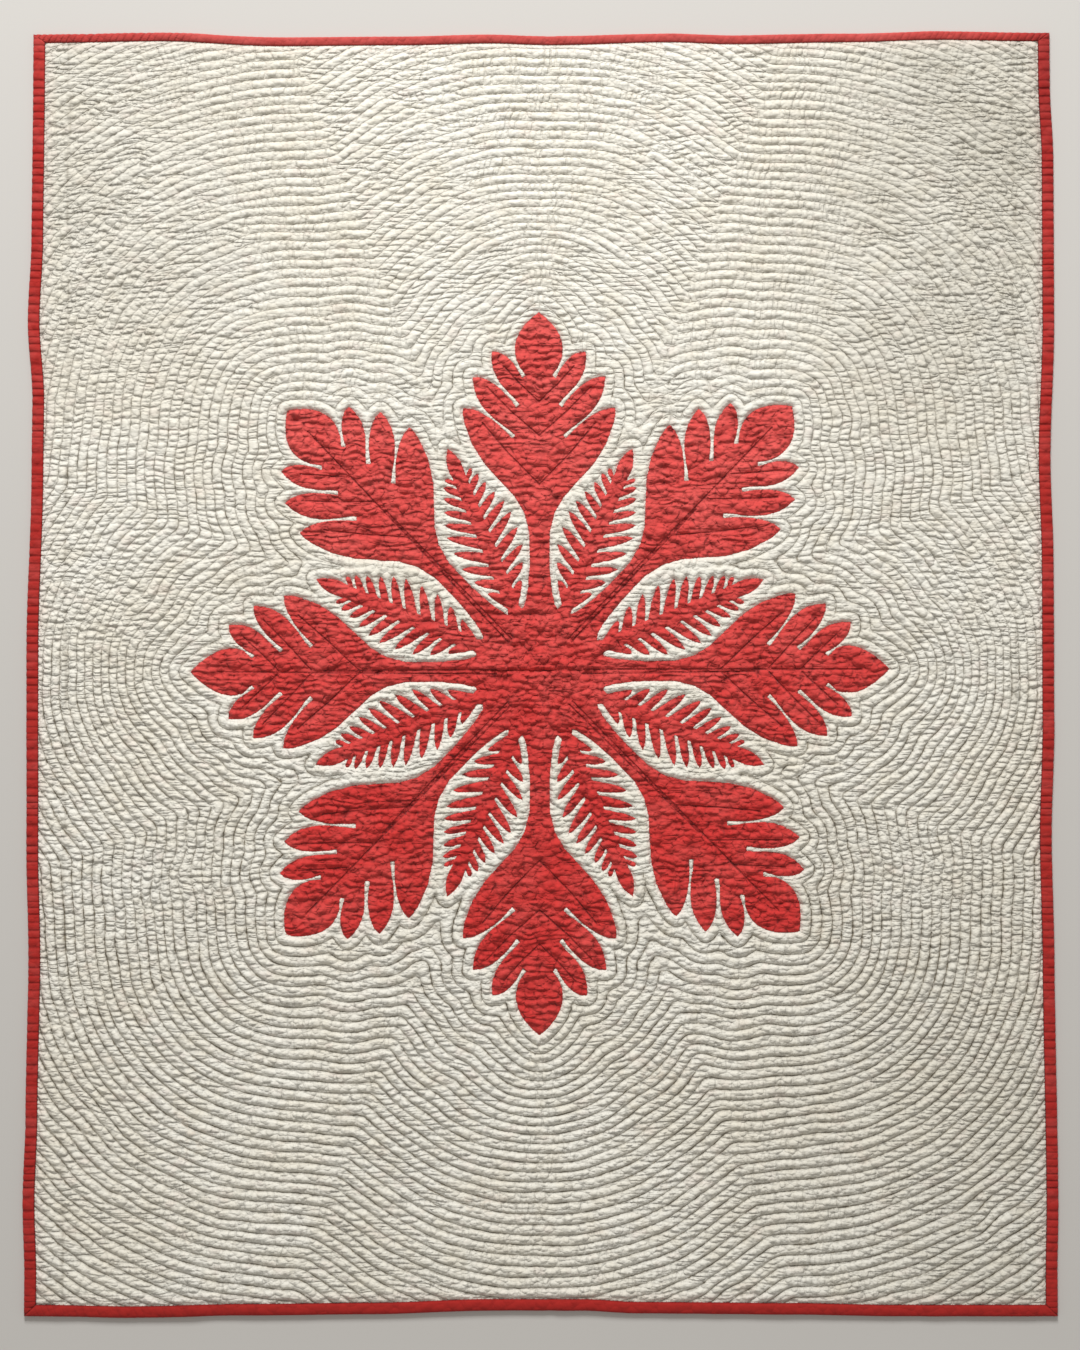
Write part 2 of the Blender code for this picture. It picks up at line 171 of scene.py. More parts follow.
print("a sample of the swell:", np.round(swell(np.arange(0.0, 400.0, 100.0), np.zeros(4)), 2), "mm")

# %% [markdown]
# ## The motif
#
# The red cloth is folded in eight, cut once and opened out, so its pattern is one leaf and one
# fern, repeated round a centre. One side of a leaf is a short table of its flank and three lobes,
# joined by shallow arcs, and its slots end bluntly where scissors can turn. One side of a fern is
# a row of pointed fingers. Mirroring and turning in code keeps the pattern a rule and not a
# drawing, and the small table of leaf tips keeps the hand of the maker in it.

# %% One leaf and one fern
MOTIF_CENTRE = (-1.2, -3.2)
# For each leaf: its turn, the reach of its tip, and where and how far its last lobe bows out.
LEAVES = (
    (0.5, 369.0, 0.38, 16.0), (46.5, 388.0, 0.46, 19.2), (90.2, 381.5, 0.46, 17.5),
    (134.0, 385.0, 0.46, 19.2), (180.0, 369.0, 0.38, 16.0), (226.0, 385.0, 0.44, 18.8),
    (269.9, 382.0, 0.45, 16.5), (315.0, 386.0, 0.44, 18.8),
)
FERN_TURN = 22.5
LEAF_LENGTH = 383.0
GAP_END_RADIUS = 69.5
GAP_END_TURN = 15.6
SLOT_HALF_WIDTH = 1.5
LEAF_FLANK = (
    (71, 16.4), (81, 14.0), (93, 12.4), (113, 10.8), (148, 11.1), (169, 16.4), (186, 26.4),
    (201, 40.1), (221, 58.1), (242, 71.3), (264, 79.2),
)
# For each lobe: its tip, the end of the slot behind it, and the bows of its two sides.
LEAF_LOBES = (
    (281, 80.5, 250, 27.0, 6.1, 1.0),
    (314, 70.5, 283, 22.5, 7.1, 10.4),
    (341, 50.0, 314, 16.0, 6.5, 8.5),
)
LOBE_STEPS = 8
LAST_LOBE_STEPS = 10
FULLEST_BELOW_TIP = 0.59
FULLEST_ABOVE_TIP = 0.41
FERN_LENGTH = 256.0
FERN_BASE = (74.0, 6.2)
FERN_SPINE = 7.4
FERN_SLOT = 1.5
LEAFLET_BOW = 3.6
FINGER_BOW = 2.0
FIRST_FINGER_BOW = 0.8
FINGER_STEPS = 5
FINGER_FULLEST = (0.64, 0.36)
# For each finger: its tip along and out from the axis, and the slot that follows it.
FERN_FINGERS = (
    (97, 20.0, 94), (114, 28.6, 110), (132, 35.6, 124.5), (151, 37.8, 141), (169, 38.0, 158),
    (182, 35.0, 173), (195, 30.0, 186.5), (208, 24.7, 200.5), (219, 20.4, 214), (227, 15.9, 223.5),
)


def bowed(start, end, bow, steps, fullest=0.5):
    """An arc from start to end without its start; it leans to the left of travel by its bow."""
    start, end = np.array(start, float), np.array(end, float)
    run = end - start
    across = np.array((-run[1], run[0])) / np.hypot(*run)
    parts = np.arange(1, steps + 1) / steps
    leans = parts ** (math.log(0.5) / math.log(fullest))
    return [tuple(start + run * p + across * bow * 4 * q * (1 - q)) for p, q in zip(parts, leans)]


def leaf_side(tip, fullest, last_bow):
    """One side of a leaf from its stem to its tip, as distance along and out from its axis."""
    points = list(LEAF_FLANK)
    for tip_along, tip_out, slot_along, slot_out, upper_bow, lower_bow in LEAF_LOBES:
        lobe_tip = (tip_along, tip_out)
        points += bowed(points[-1], lobe_tip, lower_bow, LOBE_STEPS, FULLEST_BELOW_TIP)
        slot_end = (slot_along - SLOT_HALF_WIDTH, slot_out + SLOT_HALF_WIDTH)
        points += bowed(lobe_tip, slot_end, upper_bow, LOBE_STEPS, FULLEST_ABOVE_TIP)
        points.append((slot_along + SLOT_HALF_WIDTH, slot_out - SLOT_HALF_WIDTH))
    points += bowed(points[-1], (LEAF_LENGTH, 0.0), last_bow, LAST_LOBE_STEPS, fullest)
    return [(along * tip / LEAF_LENGTH, out) for along, out in points]


def fern_side():
    """One side of a fern from its base to its tip, as distance along and out from its axis."""
    points = [FERN_BASE]
    for tip_along, tip_out, slot_along in FERN_FINGERS:
        bow = FIRST_FINGER_BOW if len(points) == 1 else FINGER_BOW
        finger_tip = (tip_along, tip_out)
        slot_end = (slot_along - FERN_SLOT, FERN_SPINE)
        points += bowed(points[-1], finger_tip, bow, FINGER_STEPS, FINGER_FULLEST[0])
        points += bowed(finger_tip, slot_end, FINGER_BOW, FINGER_STEPS, FINGER_FULLEST[1])
        points.append((slot_along + FERN_SLOT, FERN_SPINE))
    return points + bowed(points[-1], (FERN_LENGTH, 0.0), LEAFLET_BOW, FINGER_STEPS + 1)


def turned(points, angle):
    """Turns distances along and out into places on the quilt, for an axis at an angle."""
    cos, sin = math.cos(angle), math.sin(angle)
    centre_x, centre_y = MOTIF_CENTRE
    return [(centre_x + a * cos - o * sin, centre_y + a * sin + o * cos) for a, o in points]


def both_sides(side):
    """Goes up the right side of a leaf or fern and down its left side."""
    right = [(along, -out) for along, out in side]
    return right + [(along, out) for along, out in reversed(side[:-1])]


def motif_outline():
    """The outline of the whole motif, as one closed loop."""
    loop = []
    fern = fern_side()
    for number, (turn, tip, fullest, last_bow) in enumerate(LEAVES):
        leaf_angle = math.radians(turn)
        fern_angle = math.radians(FERN_TURN * (2 * number + 1))
        loop += turned(both_sides(leaf_side(tip, fullest, last_bow)), leaf_angle)
        loop += turned([(GAP_END_RADIUS, 0.0)], leaf_angle + math.radians(GAP_END_TURN))
        loop += turned(both_sides(fern), fern_angle)
        loop += turned([(GAP_END_RADIUS, 0.0)], fern_angle + math.radians(FERN_TURN - GAP_END_TURN))
    return np.array(loop)


outline = motif_outline()
print("the motif's outline has", len(outline), "corners for 8 leaves and 8 ferns")

# %% [markdown]
# ## Measuring distances
#
# All that follows asks how far a place is from the edge of the motif, and on which side of it. A
# tree of points answers the first quickly. Counting the sides that a line crosses on its way out
# answers the second, for all the places together and without a mesh to cast rays at.

# %% Measuring on a plane
EDGE_SAMPLE_STEP = 0.8


def dense(line, step):
    """Adds points along a line of points, no further apart than a step."""
    points = []
    for start, end in zip(line[:-1], line[1:]):
        start, end = np.array(start, float), np.array(end, float)
        pieces = max(1, math.ceil(np.hypot(*(end - start)) / step))
        points += [start + (end - start) * k / pieces for k in range(pieces)]
    points.append(np.array(line[-1], float))
    return np.array(points)


def tree_of(points):
    """A tree that finds the nearest of many points on the plane."""
    tree = kdtree.KDTree(len(points))
    for index, (x, y) in enumerate(points.tolist()):
        tree.insert((x, y, 0.0), index)
    tree.balance()
    return tree


def nearest(points, targets):
    """The distance from each point to the nearest target."""
    tree = tree_of(targets)
    return np.array([tree.find((x, y, 0.0))[2] for x, y in points.tolist()])


def is_inside(points, loop):
    """Which points lie inside a closed loop, counted by the sides crossed on the way out."""
    inside = np.zeros(len(points), bool)
    order = np.argsort(points[:, 1], kind="stable")
    x, y = points[order, 0], points[order, 1]
    for (x0, y0), (x1, y1) in zip(loop, np.roll(loop, -1, axis=0)):
        if y0 == y1:
            continue
        first, last = np.searchsorted(y, (min(y0, y1), max(y0, y1)), side="right")
        crossing = x0 + (y[first:last] - y0) * (x1 - x0) / (y1 - y0)
        inside[order[first:last]] ^= crossing > x[first:last]
    return inside


edge_samples = dense([*outline, outline[0]], EDGE_SAMPLE_STEP)
edge_length = len(edge_samples) * EDGE_SAMPLE_STEP / 1000
print("the motif's edge is", round(edge_length, 1), "m long, more or less")

# %% [markdown]
# ## The lines of quilting
#
# Echo quilting needs no pattern. The quilter sews a finger's width outside the motif, then the
# same width outside that line, and so on to the edge. So the lines are the places at equal
# distances from the motif, and one number is enough to draw them all: the turns, which are the
# distance divided by the width of a roll. A whole number is a sewn line, and a half is the top of
# a roll. The corners where two leaves' echoes meet come by themselves. The rolls are a little
# narrower at the top of this quilt than at the bottom, and the hand drifts. Far out, the lines
# pass the four sharpest tips bluntly, as a hand does that follows the line before it. Where the
# echoes of two leaves meet at the sides, the cloth is so puckered that the lines are nearly lost.

# %% Turns of the echo
ECHO_PITCH = 10.3
PITCH_SPREAD = 0.055
BLUNT_RADIUS = 27.0
DRIFT = ((0.30, 150.0, 150.0, 21), (0.13, 34.0, 34.0, 22), (0.055, 7.0, 7.0, 23))
# For each quiet place: its middle, its size and how far the lines are lost there.
QUIET_PLACES = (
    (-470, 75, 75, 0.9), (470, 75, 75, 0.9), (-450, 365, 85, 0.9), (450, 365, 85, 0.9),
    (-400, -210, 60, 0.8), (400, -210, 60, 0.8), (490, 575, 80, 0.7), (-505, 470, 75, 0.7),
)


def without_tips(samples):
    """The samples of the motif's edge without the tips of the four upright and level leaves."""
    kept = np.ones(len(samples), bool)
    for turn, tip, _, _ in LEAVES[::2]:
        tip_x, tip_y = turned([(tip, 0.0)], math.radians(turn))[0]
        kept &= np.hypot(samples[:, 0] - tip_x, samples[:, 1] - tip_y) > BLUNT_RADIUS
    return samples[kept]


blunt_samples = without_tips(edge_samples)


def quiet_at(x, y):
    """How far the lines of quilting are lost in puckers, from 0 to 1."""
    total = np.zeros_like(x)
    for place_x, place_y, size, share in QUIET_PLACES:
        total += share * np.exp(-((x - place_x) / size) ** 2 - ((y - place_y) / size) ** 2)
    return np.clip(total * (1.0 + 0.35 * uneven(x / 45.0, y / 45.0, 26)), 0.0, 1.0)


def echo_turns(points, to_motif):
    """How many lines of quilting each point is out from the motif; 0 at the motif."""
    x, y = points[:, 0], points[:, 1]
    pitch = ECHO_PITCH * (1.0 - PITCH_SPREAD * y / HALF_LENGTH)
    blunt = nearest(points, blunt_samples) - to_motif
    turns = (to_motif + blunt * smooth_step(10.0, 170.0, to_motif)) / pitch
    drift = waves(x, y, DRIFT)
    drift += 0.35 * quiet_at(x, y) * uneven(x / 20.0, y / 20.0, 27)
    muddle = np.clip(uneven(x / 95.0, y / 95.0, 24) - 0.35, 0.0, 0.4)
    drift += 0.9 * muddle * uneven(x / 24.0, y / 24.0, 25)
    return turns + drift * np.clip(0.5 * turns - 0.3, 0.0, 1.0)


# %% [markdown]
# ## Puckers
#
# Washing shrinks the cloth more one way than the other. The slack gathers in small creases that
# all lie across the quilt, a little more than half a roll apart. Where a roll runs up and down
# they cut it into a row of little pillows, where it runs at a slant they make it look like rope,
# and where it lies across the quilt they vanish in it. The same creases cross the red cloth, so
# one function serves both cloths, and a second, weaker set goes the other way.

# %% Creases that cross everything
WEFT_PITCH = 5.9
WARP_PITCH = 6.2
WEFT_BEND = ((1.1, 85.0, 50.0, 31), (0.55, 24.0, 17.0, 32))
WARP_BEND = ((0.8, 45.0, 70.0, 33), (0.45, 16.0, 20.0, 34))


def weft_phase(x, y):
    """Counts the creases that lie across the quilt; each whole number is one crease."""
    return y / WEFT_PITCH + waves(x, y, WEFT_BEND)


def warp_phase(x, y):
    """Counts the weaker creases that lie along the quilt."""
    return x / WARP_PITCH + waves(x, y, WARP_BEND)


def pillow(phase, roundness):
    """1 in the middle between two creases, 0 on a crease."""
    return 1.0 - np.abs(2.0 * (phase % 1.0) - 1.0) ** roundness


print("creases across lie", WEFT_PITCH, "mm apart, and those along", WARP_PITCH, "mm")

# %% [markdown]
# ## The ground cloth
#
# The face of the quilt is one cloth. A grid of points that follows the wandering edges gives it
# even faces, and the turns and creases at each point give its height. A subdivided plane with a
# displacement would be simpler, but it couldn't put its points where the sewn lines run.

# %% A grid that follows the edges
GROUND_STEP = 2.2
TUCK = 1.6
EDGE_REACH = 70.0


def grid_line(half):
    """Even places from edge to edge with one in the middle."""
    steps = 2 * math.ceil((half - TUCK) / GROUND_STEP)
    return np.linspace(-half + TUCK, half - TUCK, steps + 1)


def edge_pull(side, away, along):
    """How far a point near an edge is pulled outwards so that the grid follows the edge."""
    fade_and_light = np.clip(1.0 - away / EDGE_REACH, 0.0, 1.0) ** 2
    return fade_and_light * eased(EDGES[side], along)


flat_x, flat_y = np.meshgrid(grid_line(HALF_WIDTH), grid_line(HALF_LENGTH))
rows, columns = flat_x.shape
ground_x = flat_x + edge_pull("right", HALF_WIDTH - flat_x, flat_y)
ground_x -= edge_pull("left", HALF_WIDTH + flat_x, flat_y)
ground_y = flat_y + edge_pull("top", HALF_LENGTH - flat_y, flat_x)
ground_y -= edge_pull("bottom", HALF_LENGTH + flat_y, flat_x)
print("the ground has", rows, "rows of", columns, "points")

# %% [markdown]
# ## Points on the sewn lines
#
# A grid alone would cut the sewn lines into steps. So each point that lies near a line is slid
# onto it, along the slope of the turns. Before that the turns are blended a little with their
# neighbours, as thread can't turn a sharp corner where two echoes meet.

# %% Points slide onto the sewn lines
CORNER_PASSES = 14
LEAST_SLOPE = 0.6 / ECHO_PITCH


def slopes(field):
    """How fast a field grows along x and y, for each millimetre."""
    along_y, along_x = np.gradient(field)
    return along_x / np.gradient(ground_x, axis=1), along_y / np.gradient(ground_y, axis=0)


def rounded_corners(field, passes):
    """Blends each point with its neighbours, away from the motif, so that lines turn softly."""
    free = np.clip(0.7 * (field - 1.0), 0.0, 1.0)
    for _ in range(passes):
        wide = np.pad(field, 1, mode="reflect", reflect_type="odd")
        blend = 0.25 * (wide[:-2, 1:-1] + wide[2:, 1:-1] + wide[1:-1, :-2] + wide[1:-1, 2:])
        field = field + 0.6 * free * (blend - field)
    return field


flat_points = np.column_stack((ground_x.ravel(), ground_y.ravel()))
to_motif = nearest(flat_points, edge_samples)
under_motif = is_inside(flat_points, outline)
turns = np.where(under_motif, 0.0, echo_turns(flat_points, to_motif)).reshape(rows, columns)
turns = rounded_corners(turns, CORNER_PASSES)
slope_x, slope_y = slopes(turns)
steepness = np.hypot(slope_x, slope_y)
never_flat = np.maximum(steepness, 1e-6)
line_number = np.round(turns)
slide = (line_number - turns) / never_flat
near_line = (np.abs(slide) < 0.5 * GROUND_STEP) & (steepness > LEAST_SLOPE) & (turns > 0.5)
near_line &= inside_binding(ground_x, ground_y) > 0.0
near_line[:, columns // 2] = False
near_line[rows // 2, :] = False
ground_x[near_line] += (slide * slope_x / never_flat)[near_line]
ground_y[near_line] += (slide * slope_y / never_flat)[near_line]
turns[near_line] = line_number[near_line]
print("points slid onto a line of quilting:", int(near_line.sum()))

# %% [markdown]
# ## How the creases cut the rolls
#
# A roll looks different by the way it runs, so the lean of the turns says how deep each set of
# creases goes. Each roll shifts its creases a little, as each holds its own filling, and each tuft
# between two creases has a depth of its own. In the upper part the creases along the quilt are
# deeper, and in its corners they cut every roll, whichever way it runs.

# %% Creases on the rolls
FOLD_PLACE = 2.0
FOLD_LEAN = 0.009

lean_x = np.abs(slope_x) / never_flat
upper_part = smooth_step(-250.0, 400.0, ground_y)
crossing = smooth_step(0.05, 0.5, lean_x)
knots = 1.0 - smooth_step(0.3, 0.9, lean_x)
slanted = smooth_step(0.05, 0.35, lean_x)
own_roll = 1.7 * np.floor(turns)
weft = weft_phase(ground_x, ground_y) + 0.6 * uneven(own_roll, ground_y / 60.0, 43)
warp = warp_phase(ground_x, ground_y) + 0.7 * uneven(own_roll, ground_x / 60.0, 44)


def by_tuft(turn_shift, crease_shift, seed):
    """A random value for each tuft of a roll, which lies between two creases."""
    on_weft = uneven(turns + turn_shift, weft + crease_shift, seed)
    on_warp = uneven(turns + turn_shift, warp + crease_shift, seed + 1)
    return on_weft * crossing + on_warp * (1.0 - crossing)


quiet = quiet_at(ground_x, ground_y)
corner = smooth_step(250.0, 430.0, np.abs(ground_x)) * smooth_step(200.0, 450.0, ground_y)
fold_x = ground_x - FOLD_PLACE - FOLD_LEAN * ground_y
crease_depth = np.clip(0.65 + 0.8 * by_tuft(0.5, 0.0, 61), 0.0, 1.3)
crossing *= crease_depth * (0.95 - 0.05 * upper_part)
knots = np.maximum(knots * (0.75 + 0.25 * upper_part), 0.8 * corner)
knots += 0.3 * np.exp(-((fold_x / 14.0) ** 2))
knots *= crease_depth
print("the creases are", round(float(crease_depth.mean()), 2), "deep on average, on a scale to 1.3")

# %% [markdown]
# ## The height of the ground
#
# Height starts as a row of round rolls with a sharp valley at each sewn line. In the upper part
# and in the quiet places the valleys are pulled up between the creases, so that the lines look
# dashed. Then the creases are cut, the tufts are lifted or lowered, and the two old folds are
# pressed in. Under the motif the ground lies lower, and at the binding it ramps down to its seam.

# %% The height of the ground
VALLEY_Z = 3.2
ROLL_HEIGHT = 3.3
SEWN_EDGE_Z = 3.0
RAMP_WIDTH = 4.0
ROLL_ROUNDNESS = 2.9
CREASE_ROUNDNESS = 1.7
MOST_PULLED_UP = 0.65
UNDER_MOTIF = 1.1

sewn_depth = np.clip(0.85 + 0.35 * by_tuft(0.0, 0.5, 63), 0.3, 1.15)
roll = pillow(turns, ROLL_ROUNDNESS - upper_part * (0.5 + 0.5 * lean_x))
along_weft = np.clip(crossing, 0.0, 1.0)
between = pillow(weft, 2.0) * along_weft + pillow(warp, 2.0) * (1.0 - along_weft)
pulled_up = (0.25 + 0.3 * slanted) * upper_part * (0.35 + between)
pulled_up += 0.25 * (1.0 - sewn_depth) + 0.4 * quiet
pulled_up *= smooth_step(0.4, 1.3, turns)
rise = roll + np.clip(pulled_up, 0.0, MOST_PULLED_UP) * (1.0 - roll)
rise *= 1.0 - np.clip(0.6 * crossing, 0.0, 0.75) * (1.0 - pillow(weft, CREASE_ROUNDNESS))
rise *= 1.0 - np.clip(0.5 * knots, 0.0, 0.6) * (1.0 - pillow(warp, CREASE_ROUNDNESS))
lumps = 1.0 + 0.24 * by_tuft(0.5, 0.5, 65)
folds = 0.8 * np.exp(-((fold_x / 3.0) ** 2)) + 0.4 * np.exp(-((ground_y / 3.5) ** 2))
height = VALLEY_Z + ROLL_HEIGHT * rise * lumps - folds * roll
height += swell(ground_x, ground_y)
deep_under = np.where(under_motif, to_motif, 0.0).reshape(rows, columns)
height -= UNDER_MOTIF * smooth_step(0.8, 3.5, deep_under)
seam_distance = inside_binding(ground_x, ground_y)
ramp = np.clip((seam_distance - 0.3) / RAMP_WIDTH, 0.0, 1.0)
ground_z = SEWN_EDGE_Z + (height - SEWN_EDGE_Z) * ramp
print("the ground's face lies between", round(ground_z.min(), 2), "and", round(ground_z.max(), 2), "mm")

# %% [markdown]
# ## What the ground carries
#
# Painted shade lies in the sewn lines, less where they are pulled up, and painted shade greys the cloth
# towards three corners and the right side, where the light falls off. Two upright seams run near the
# sides. These are numbers at each point, like the turns and the creases, and the finish turns them into
# colour later.

# %% Painted shade in lines and corners, and seams
# For each corner with painted shade: how much, and from where to where it grows across and up.
PAINTED_FALLOFF = ((0.5, 150, 480, 150, 500), (0.34, -150, -480, 200, 500), (0.22, 100, 480, -100, -500))
PAINTED_FALLOFF_AT_RIGHT = 0.08
# For each seam: how plain it is, its place across the quilt and its seed.
SEAMS = ((1.0, -501.0, 48), (0.7, 500.0, 49))

# How dark the painted shade in each sewn line is drawn: less at the top between creases, in the quiet
# places and at the motif.
sewn_shade = (0.66 + 0.1 * upper_part) * sewn_depth * (1.0 + 0.4 * lean_x ** 2)
sewn_shade *= 1.0 - 0.75 * upper_part * between
sewn_shade *= (1.0 - 0.75 * quiet) * smooth_step(0.3, 0.8, turns)
# Painted shade: the cloth greys towards three corners and the right side, where less light falls.
painted_falloff = np.zeros_like(ground_x)
for share, from_x, to_x, from_y, to_y in PAINTED_FALLOFF:
    painted_falloff += share * smooth_step(from_x, to_x, ground_x) * smooth_step(from_y, to_y, ground_y)
painted_falloff += PAINTED_FALLOFF_AT_RIGHT * smooth_step(50, 400, ground_x)
painted_falloff *= 1.0 + 0.3 * uneven(ground_x / 70.0, ground_y / 70.0, 47)
seams = np.zeros_like(ground_x)
for share, place, seed in SEAMS:
    from_seam = ground_x - place + 2.0 * waver(ground_y, 30.0, seed)
    seams += share * np.exp(-(from_seam / 1.6) ** 2)
seams *= 0.5 + 0.5 * waver(ground_y, 12.0, 50)
ground_values = {
    "turns": turns, "weft": weft, "crossing": crossing, "warp": warp, "knots": knots,
    "sewn": sewn_shade, "painted_falloff": painted_falloff, "seams": seams, "from_binding": seam_distance,
    "fineness": 1.7 - 0.8 * upper_part + 0.9 * quiet,
}
print("the ground carries", len(ground_values), "numbers at each point")

# %% [markdown]
# ## Making a mesh from arrays
#
# All cloth here starts as arrays of points and faces. One helper turns them into an object in
# metres and stores the numbers that the materials need later as attributes of the points: the
# turns and the creases travel with the cloth, so the shading can be finer than the faces.

# %% A helper for every cloth
def cloth_object(name, points, faces, finish, values=None):
    """Makes an object from points in millimetres, with a number for each point in each value."""
    mesh = bpy.data.meshes.new(name)
    mesh.from_pydata((np.asarray(points) * MM).tolist(), [], [tuple(face) for face in faces])
    for label, numbers in (values or {}).items():
        layer = mesh.attributes.new(label, "FLOAT", "POINT")
        layer.data.foreach_set("value", np.ascontiguousarray(numbers, np.float32))
    mesh.materials.append(finish)
    mesh.shade_smooth()
    made = bpy.data.objects.new(name, mesh)
    bpy.context.scene.collection.objects.link(made)
    return made


def new_finish(name):
    """An empty material for a cloth or a thread; its nodes come later in the lesson."""
    finish = bpy.data.materials.new(name)
    finish.use_nodes = True
    return finish


white_cotton = new_finish("white_cotton")
backing_cotton = new_finish("backing_cotton")
red_cotton = new_finish("red_cotton")
red_binding = new_finish("red_binding_cotton")
red_thread = new_finish("red_thread")
print("materials so far:", len(bpy.data.materials))

# %% [markdown]
# ## Four quarters
#
# Each square of the grid is split along whichever diagonal is more level, which keeps the rolls
# smooth. The cloth is then handed over in quarters, at the two folds along which it was once
# creased, because a mesh is kept under 200,000 triangles. The normals are worked out on the whole
# cloth and shared along the folds, so no join shows.

# %% The four quarters of the ground
def point_normals(points, faces):
    """The normal at each point, from the faces round it."""
    a, b, c = (points[faces[:, k]] for k in range(3))
    across = np.cross(b - a, c - a)
    total = np.zeros_like(points)
    for k in range(3):
        for axis in range(3):
            total[:, axis] += np.bincount(faces[:, k], across[:, axis], len(points))
    return total / np.linalg.norm(total, axis=1)[:, None]


ground_points = np.column_stack((ground_x.ravel(), ground_y.ravel(), ground_z.ravel()))
number = np.arange(rows * columns).reshape(rows, columns)
corners = [number[:-1, :-1], number[:-1, 1:], number[1:, 1:], number[1:, :-1]]
south_west, south_east, north_east, north_west = (corner.ravel() for corner in corners)
z = ground_z.ravel()
level = np.abs(z[south_west] - z[north_east]) < np.abs(z[south_east] - z[north_west])
first_half = np.where(
    level[:, None],
    np.column_stack((south_west, south_east, north_east)),
    np.column_stack((south_west, south_east, north_west)),
)
second_half = np.where(
    level[:, None],
    np.column_stack((south_west, north_east, north_west)),
    np.column_stack((south_east, north_east, north_west)),
)
ground_faces = np.concatenate((first_half, second_half))
ground_normals = point_normals(ground_points, ground_faces)
face_column = np.concatenate((south_west, south_west)) % columns
face_row = np.concatenate((south_west, south_west)) // columns
print("the ground has", len(ground_faces), "triangles")

quarters = []
for part_name, right, upper in (
    ("ground_lower_left", False, False),
    ("ground_lower_right", True, False),
    ("ground_upper_left", False, True),
    ("ground_upper_right", True, True),
):
    chosen = ((face_column >= columns // 2) == right) & ((face_row >= rows // 2) == upper)
    used, local = np.unique(ground_faces[chosen], return_inverse=True)
    quarter = cloth_object(
        part_name,
        ground_points[used],
        local.reshape(-1, 3).tolist(),
        white_cotton,
        {label: field.ravel()[used] for label, field in ground_values.items()},
    )
    quarter.data.normals_split_custom_set_from_vertices(ground_normals[used].tolist())
    quarters.append(quarter)
    print(part_name, len(quarter.data.polygons), "triangles")

# %% [markdown]
# ## The backing
#
# Under the filling lies a plain white cloth. It rests on the floor, so it is flat, but the same
# stitches come through it and show as fine lines of painted shade. A coarse grid is enough, because the
# turns that it carries draw the lines in its material.

# %% A flat sheet underneath
BACKING_STEP = 4


def every(field):
    """Keeps each fourth row and column of a field, with the last of both."""
    row_picks = np.unique(np.append(np.arange(0, rows, BACKING_STEP), rows - 1))
    column_picks = np.unique(np.append(np.arange(0, columns, BACKING_STEP), columns - 1))
    return field[np.ix_(row_picks, column_picks)]


back_x, back_y, back_turns = every(ground_x), every(ground_y), every(turns)
back_rows, back_columns = back_x.shape
back_z = 1.1 * (1.0 - smooth_step(0.5, 4.5, every(seam_distance)))
back_number = np.arange(back_x.size).reshape(back_rows, back_columns)
back_faces = np.column_stack([
    back_number[:-1, :-1].ravel(), back_number[1:, :-1].ravel(),
    back_number[1:, 1:].ravel(), back_number[:-1, 1:].ravel(),
])
backing = cloth_object(
    "quilt_backing",
    np.column_stack((back_x.ravel(), back_y.ravel(), back_z.ravel())),
    back_faces.tolist(),
    backing_cotton,
    {"turns": back_turns.ravel()},
)
print("the backing has", 2 * len(backing.data.polygons), "triangles")

# %% [markdown]
# ## The red motif
#
# The motif is a single cloth with its edge turned under and sewn down, so it stands up at once
# from its edge, as a soft rim, and swells a little between its sewn lines. It is quilted along
# the midrib of each leaf but the upright two, in two lines of which one ends early, and from
# there to most of the lobes. A Delaunay mesh fits here, because it keeps the outline and the
# veins as edges, however sharp their corners, and fills in the rest with even triangles. A grid
# would fray the fingers of the ferns.

# %% Veins of the leaves
# For each vein to a lobe: its start and end along the leaf, and its end out from the axis.
LEAF_VEINS = ((199, 265, 60), (251, 303, 55), (287, 325, 37))
VEIN_BOW = 0.54
VEIN_STEP = 2.0
MIDRIB_START = 46.0
# For each line of a midrib: its end along the leaf, and the share of the gap left there.
MIDRIB_ENDS = {-1: (235.0, 0.5), 1: (352.0, 0.0)}
MIDRIB_HALF_GAP = 2.4


def vein_lines():
    """The lines of quilting on the leaves, each a list of places on the quilt."""
    lines = []
    for turn, tip, _, _ in LEAVES:
        angle = math.radians(turn)
        stretch = tip / LEAF_LENGTH
        upright = abs(math.cos(angle)) < 0.1
        for hand in (-1, 1):
            gap = 0.0 if upright else MIDRIB_HALF_GAP * hand
            if not upright:
                end_along, gap_share = MIDRIB_ENDS[hand]
                midrib = [(MIDRIB_START, gap), (end_along * stretch, gap_share * gap)]
                lines.append(turned(midrib, angle))
            for start_along, end_along, end_out in LEAF_VEINS:
                start = (start_along * stretch, gap)
                middle = (0.5 * (start_along + end_along) * stretch, VEIN_BOW * end_out * hand)
                end = (end_along * stretch, end_out * hand)
                vein = turned([start, middle, end], angle)
                across, up = np.abs(np.subtract(vein[-1], vein[0]))
                if across > 0.3 * up:
                    lines.append(vein)
    return lines


veins = [dense(line, VEIN_STEP) for line in vein_lines()]
print("lines of quilting on the leaves:", len(veins))

# %% [markdown]
# ## The mesh of the red cloth
#
# Points lie close along the edge, in two more rows just inside it where the rim rises, along the
# veins, and on a triangular grid in between. No point of the grid lies so near to an edge or a
# vein that it would make a sliver.

# %% Points for the red cloth
EDGE_STEP = 1.5
FILL_STEP = 2.35
RIM_ROWS = (0.7, 1.7)
VEIN_CLEARANCE = 1.2
EDGE_CLEARANCE = RIM_ROWS[-1] + 0.8


def offset_inwards(loop, distance):
    """Moves each point of an anticlockwise loop inwards."""
    run = np.roll(loop, -1, axis=0) - np.roll(loop, 1, axis=0)
    run /= np.maximum(np.hypot(run[:, 0], run[:, 1]), 1e-9)[:, None]
    return loop + distance * np.column_stack((-run[:, 1], run[:, 0]))


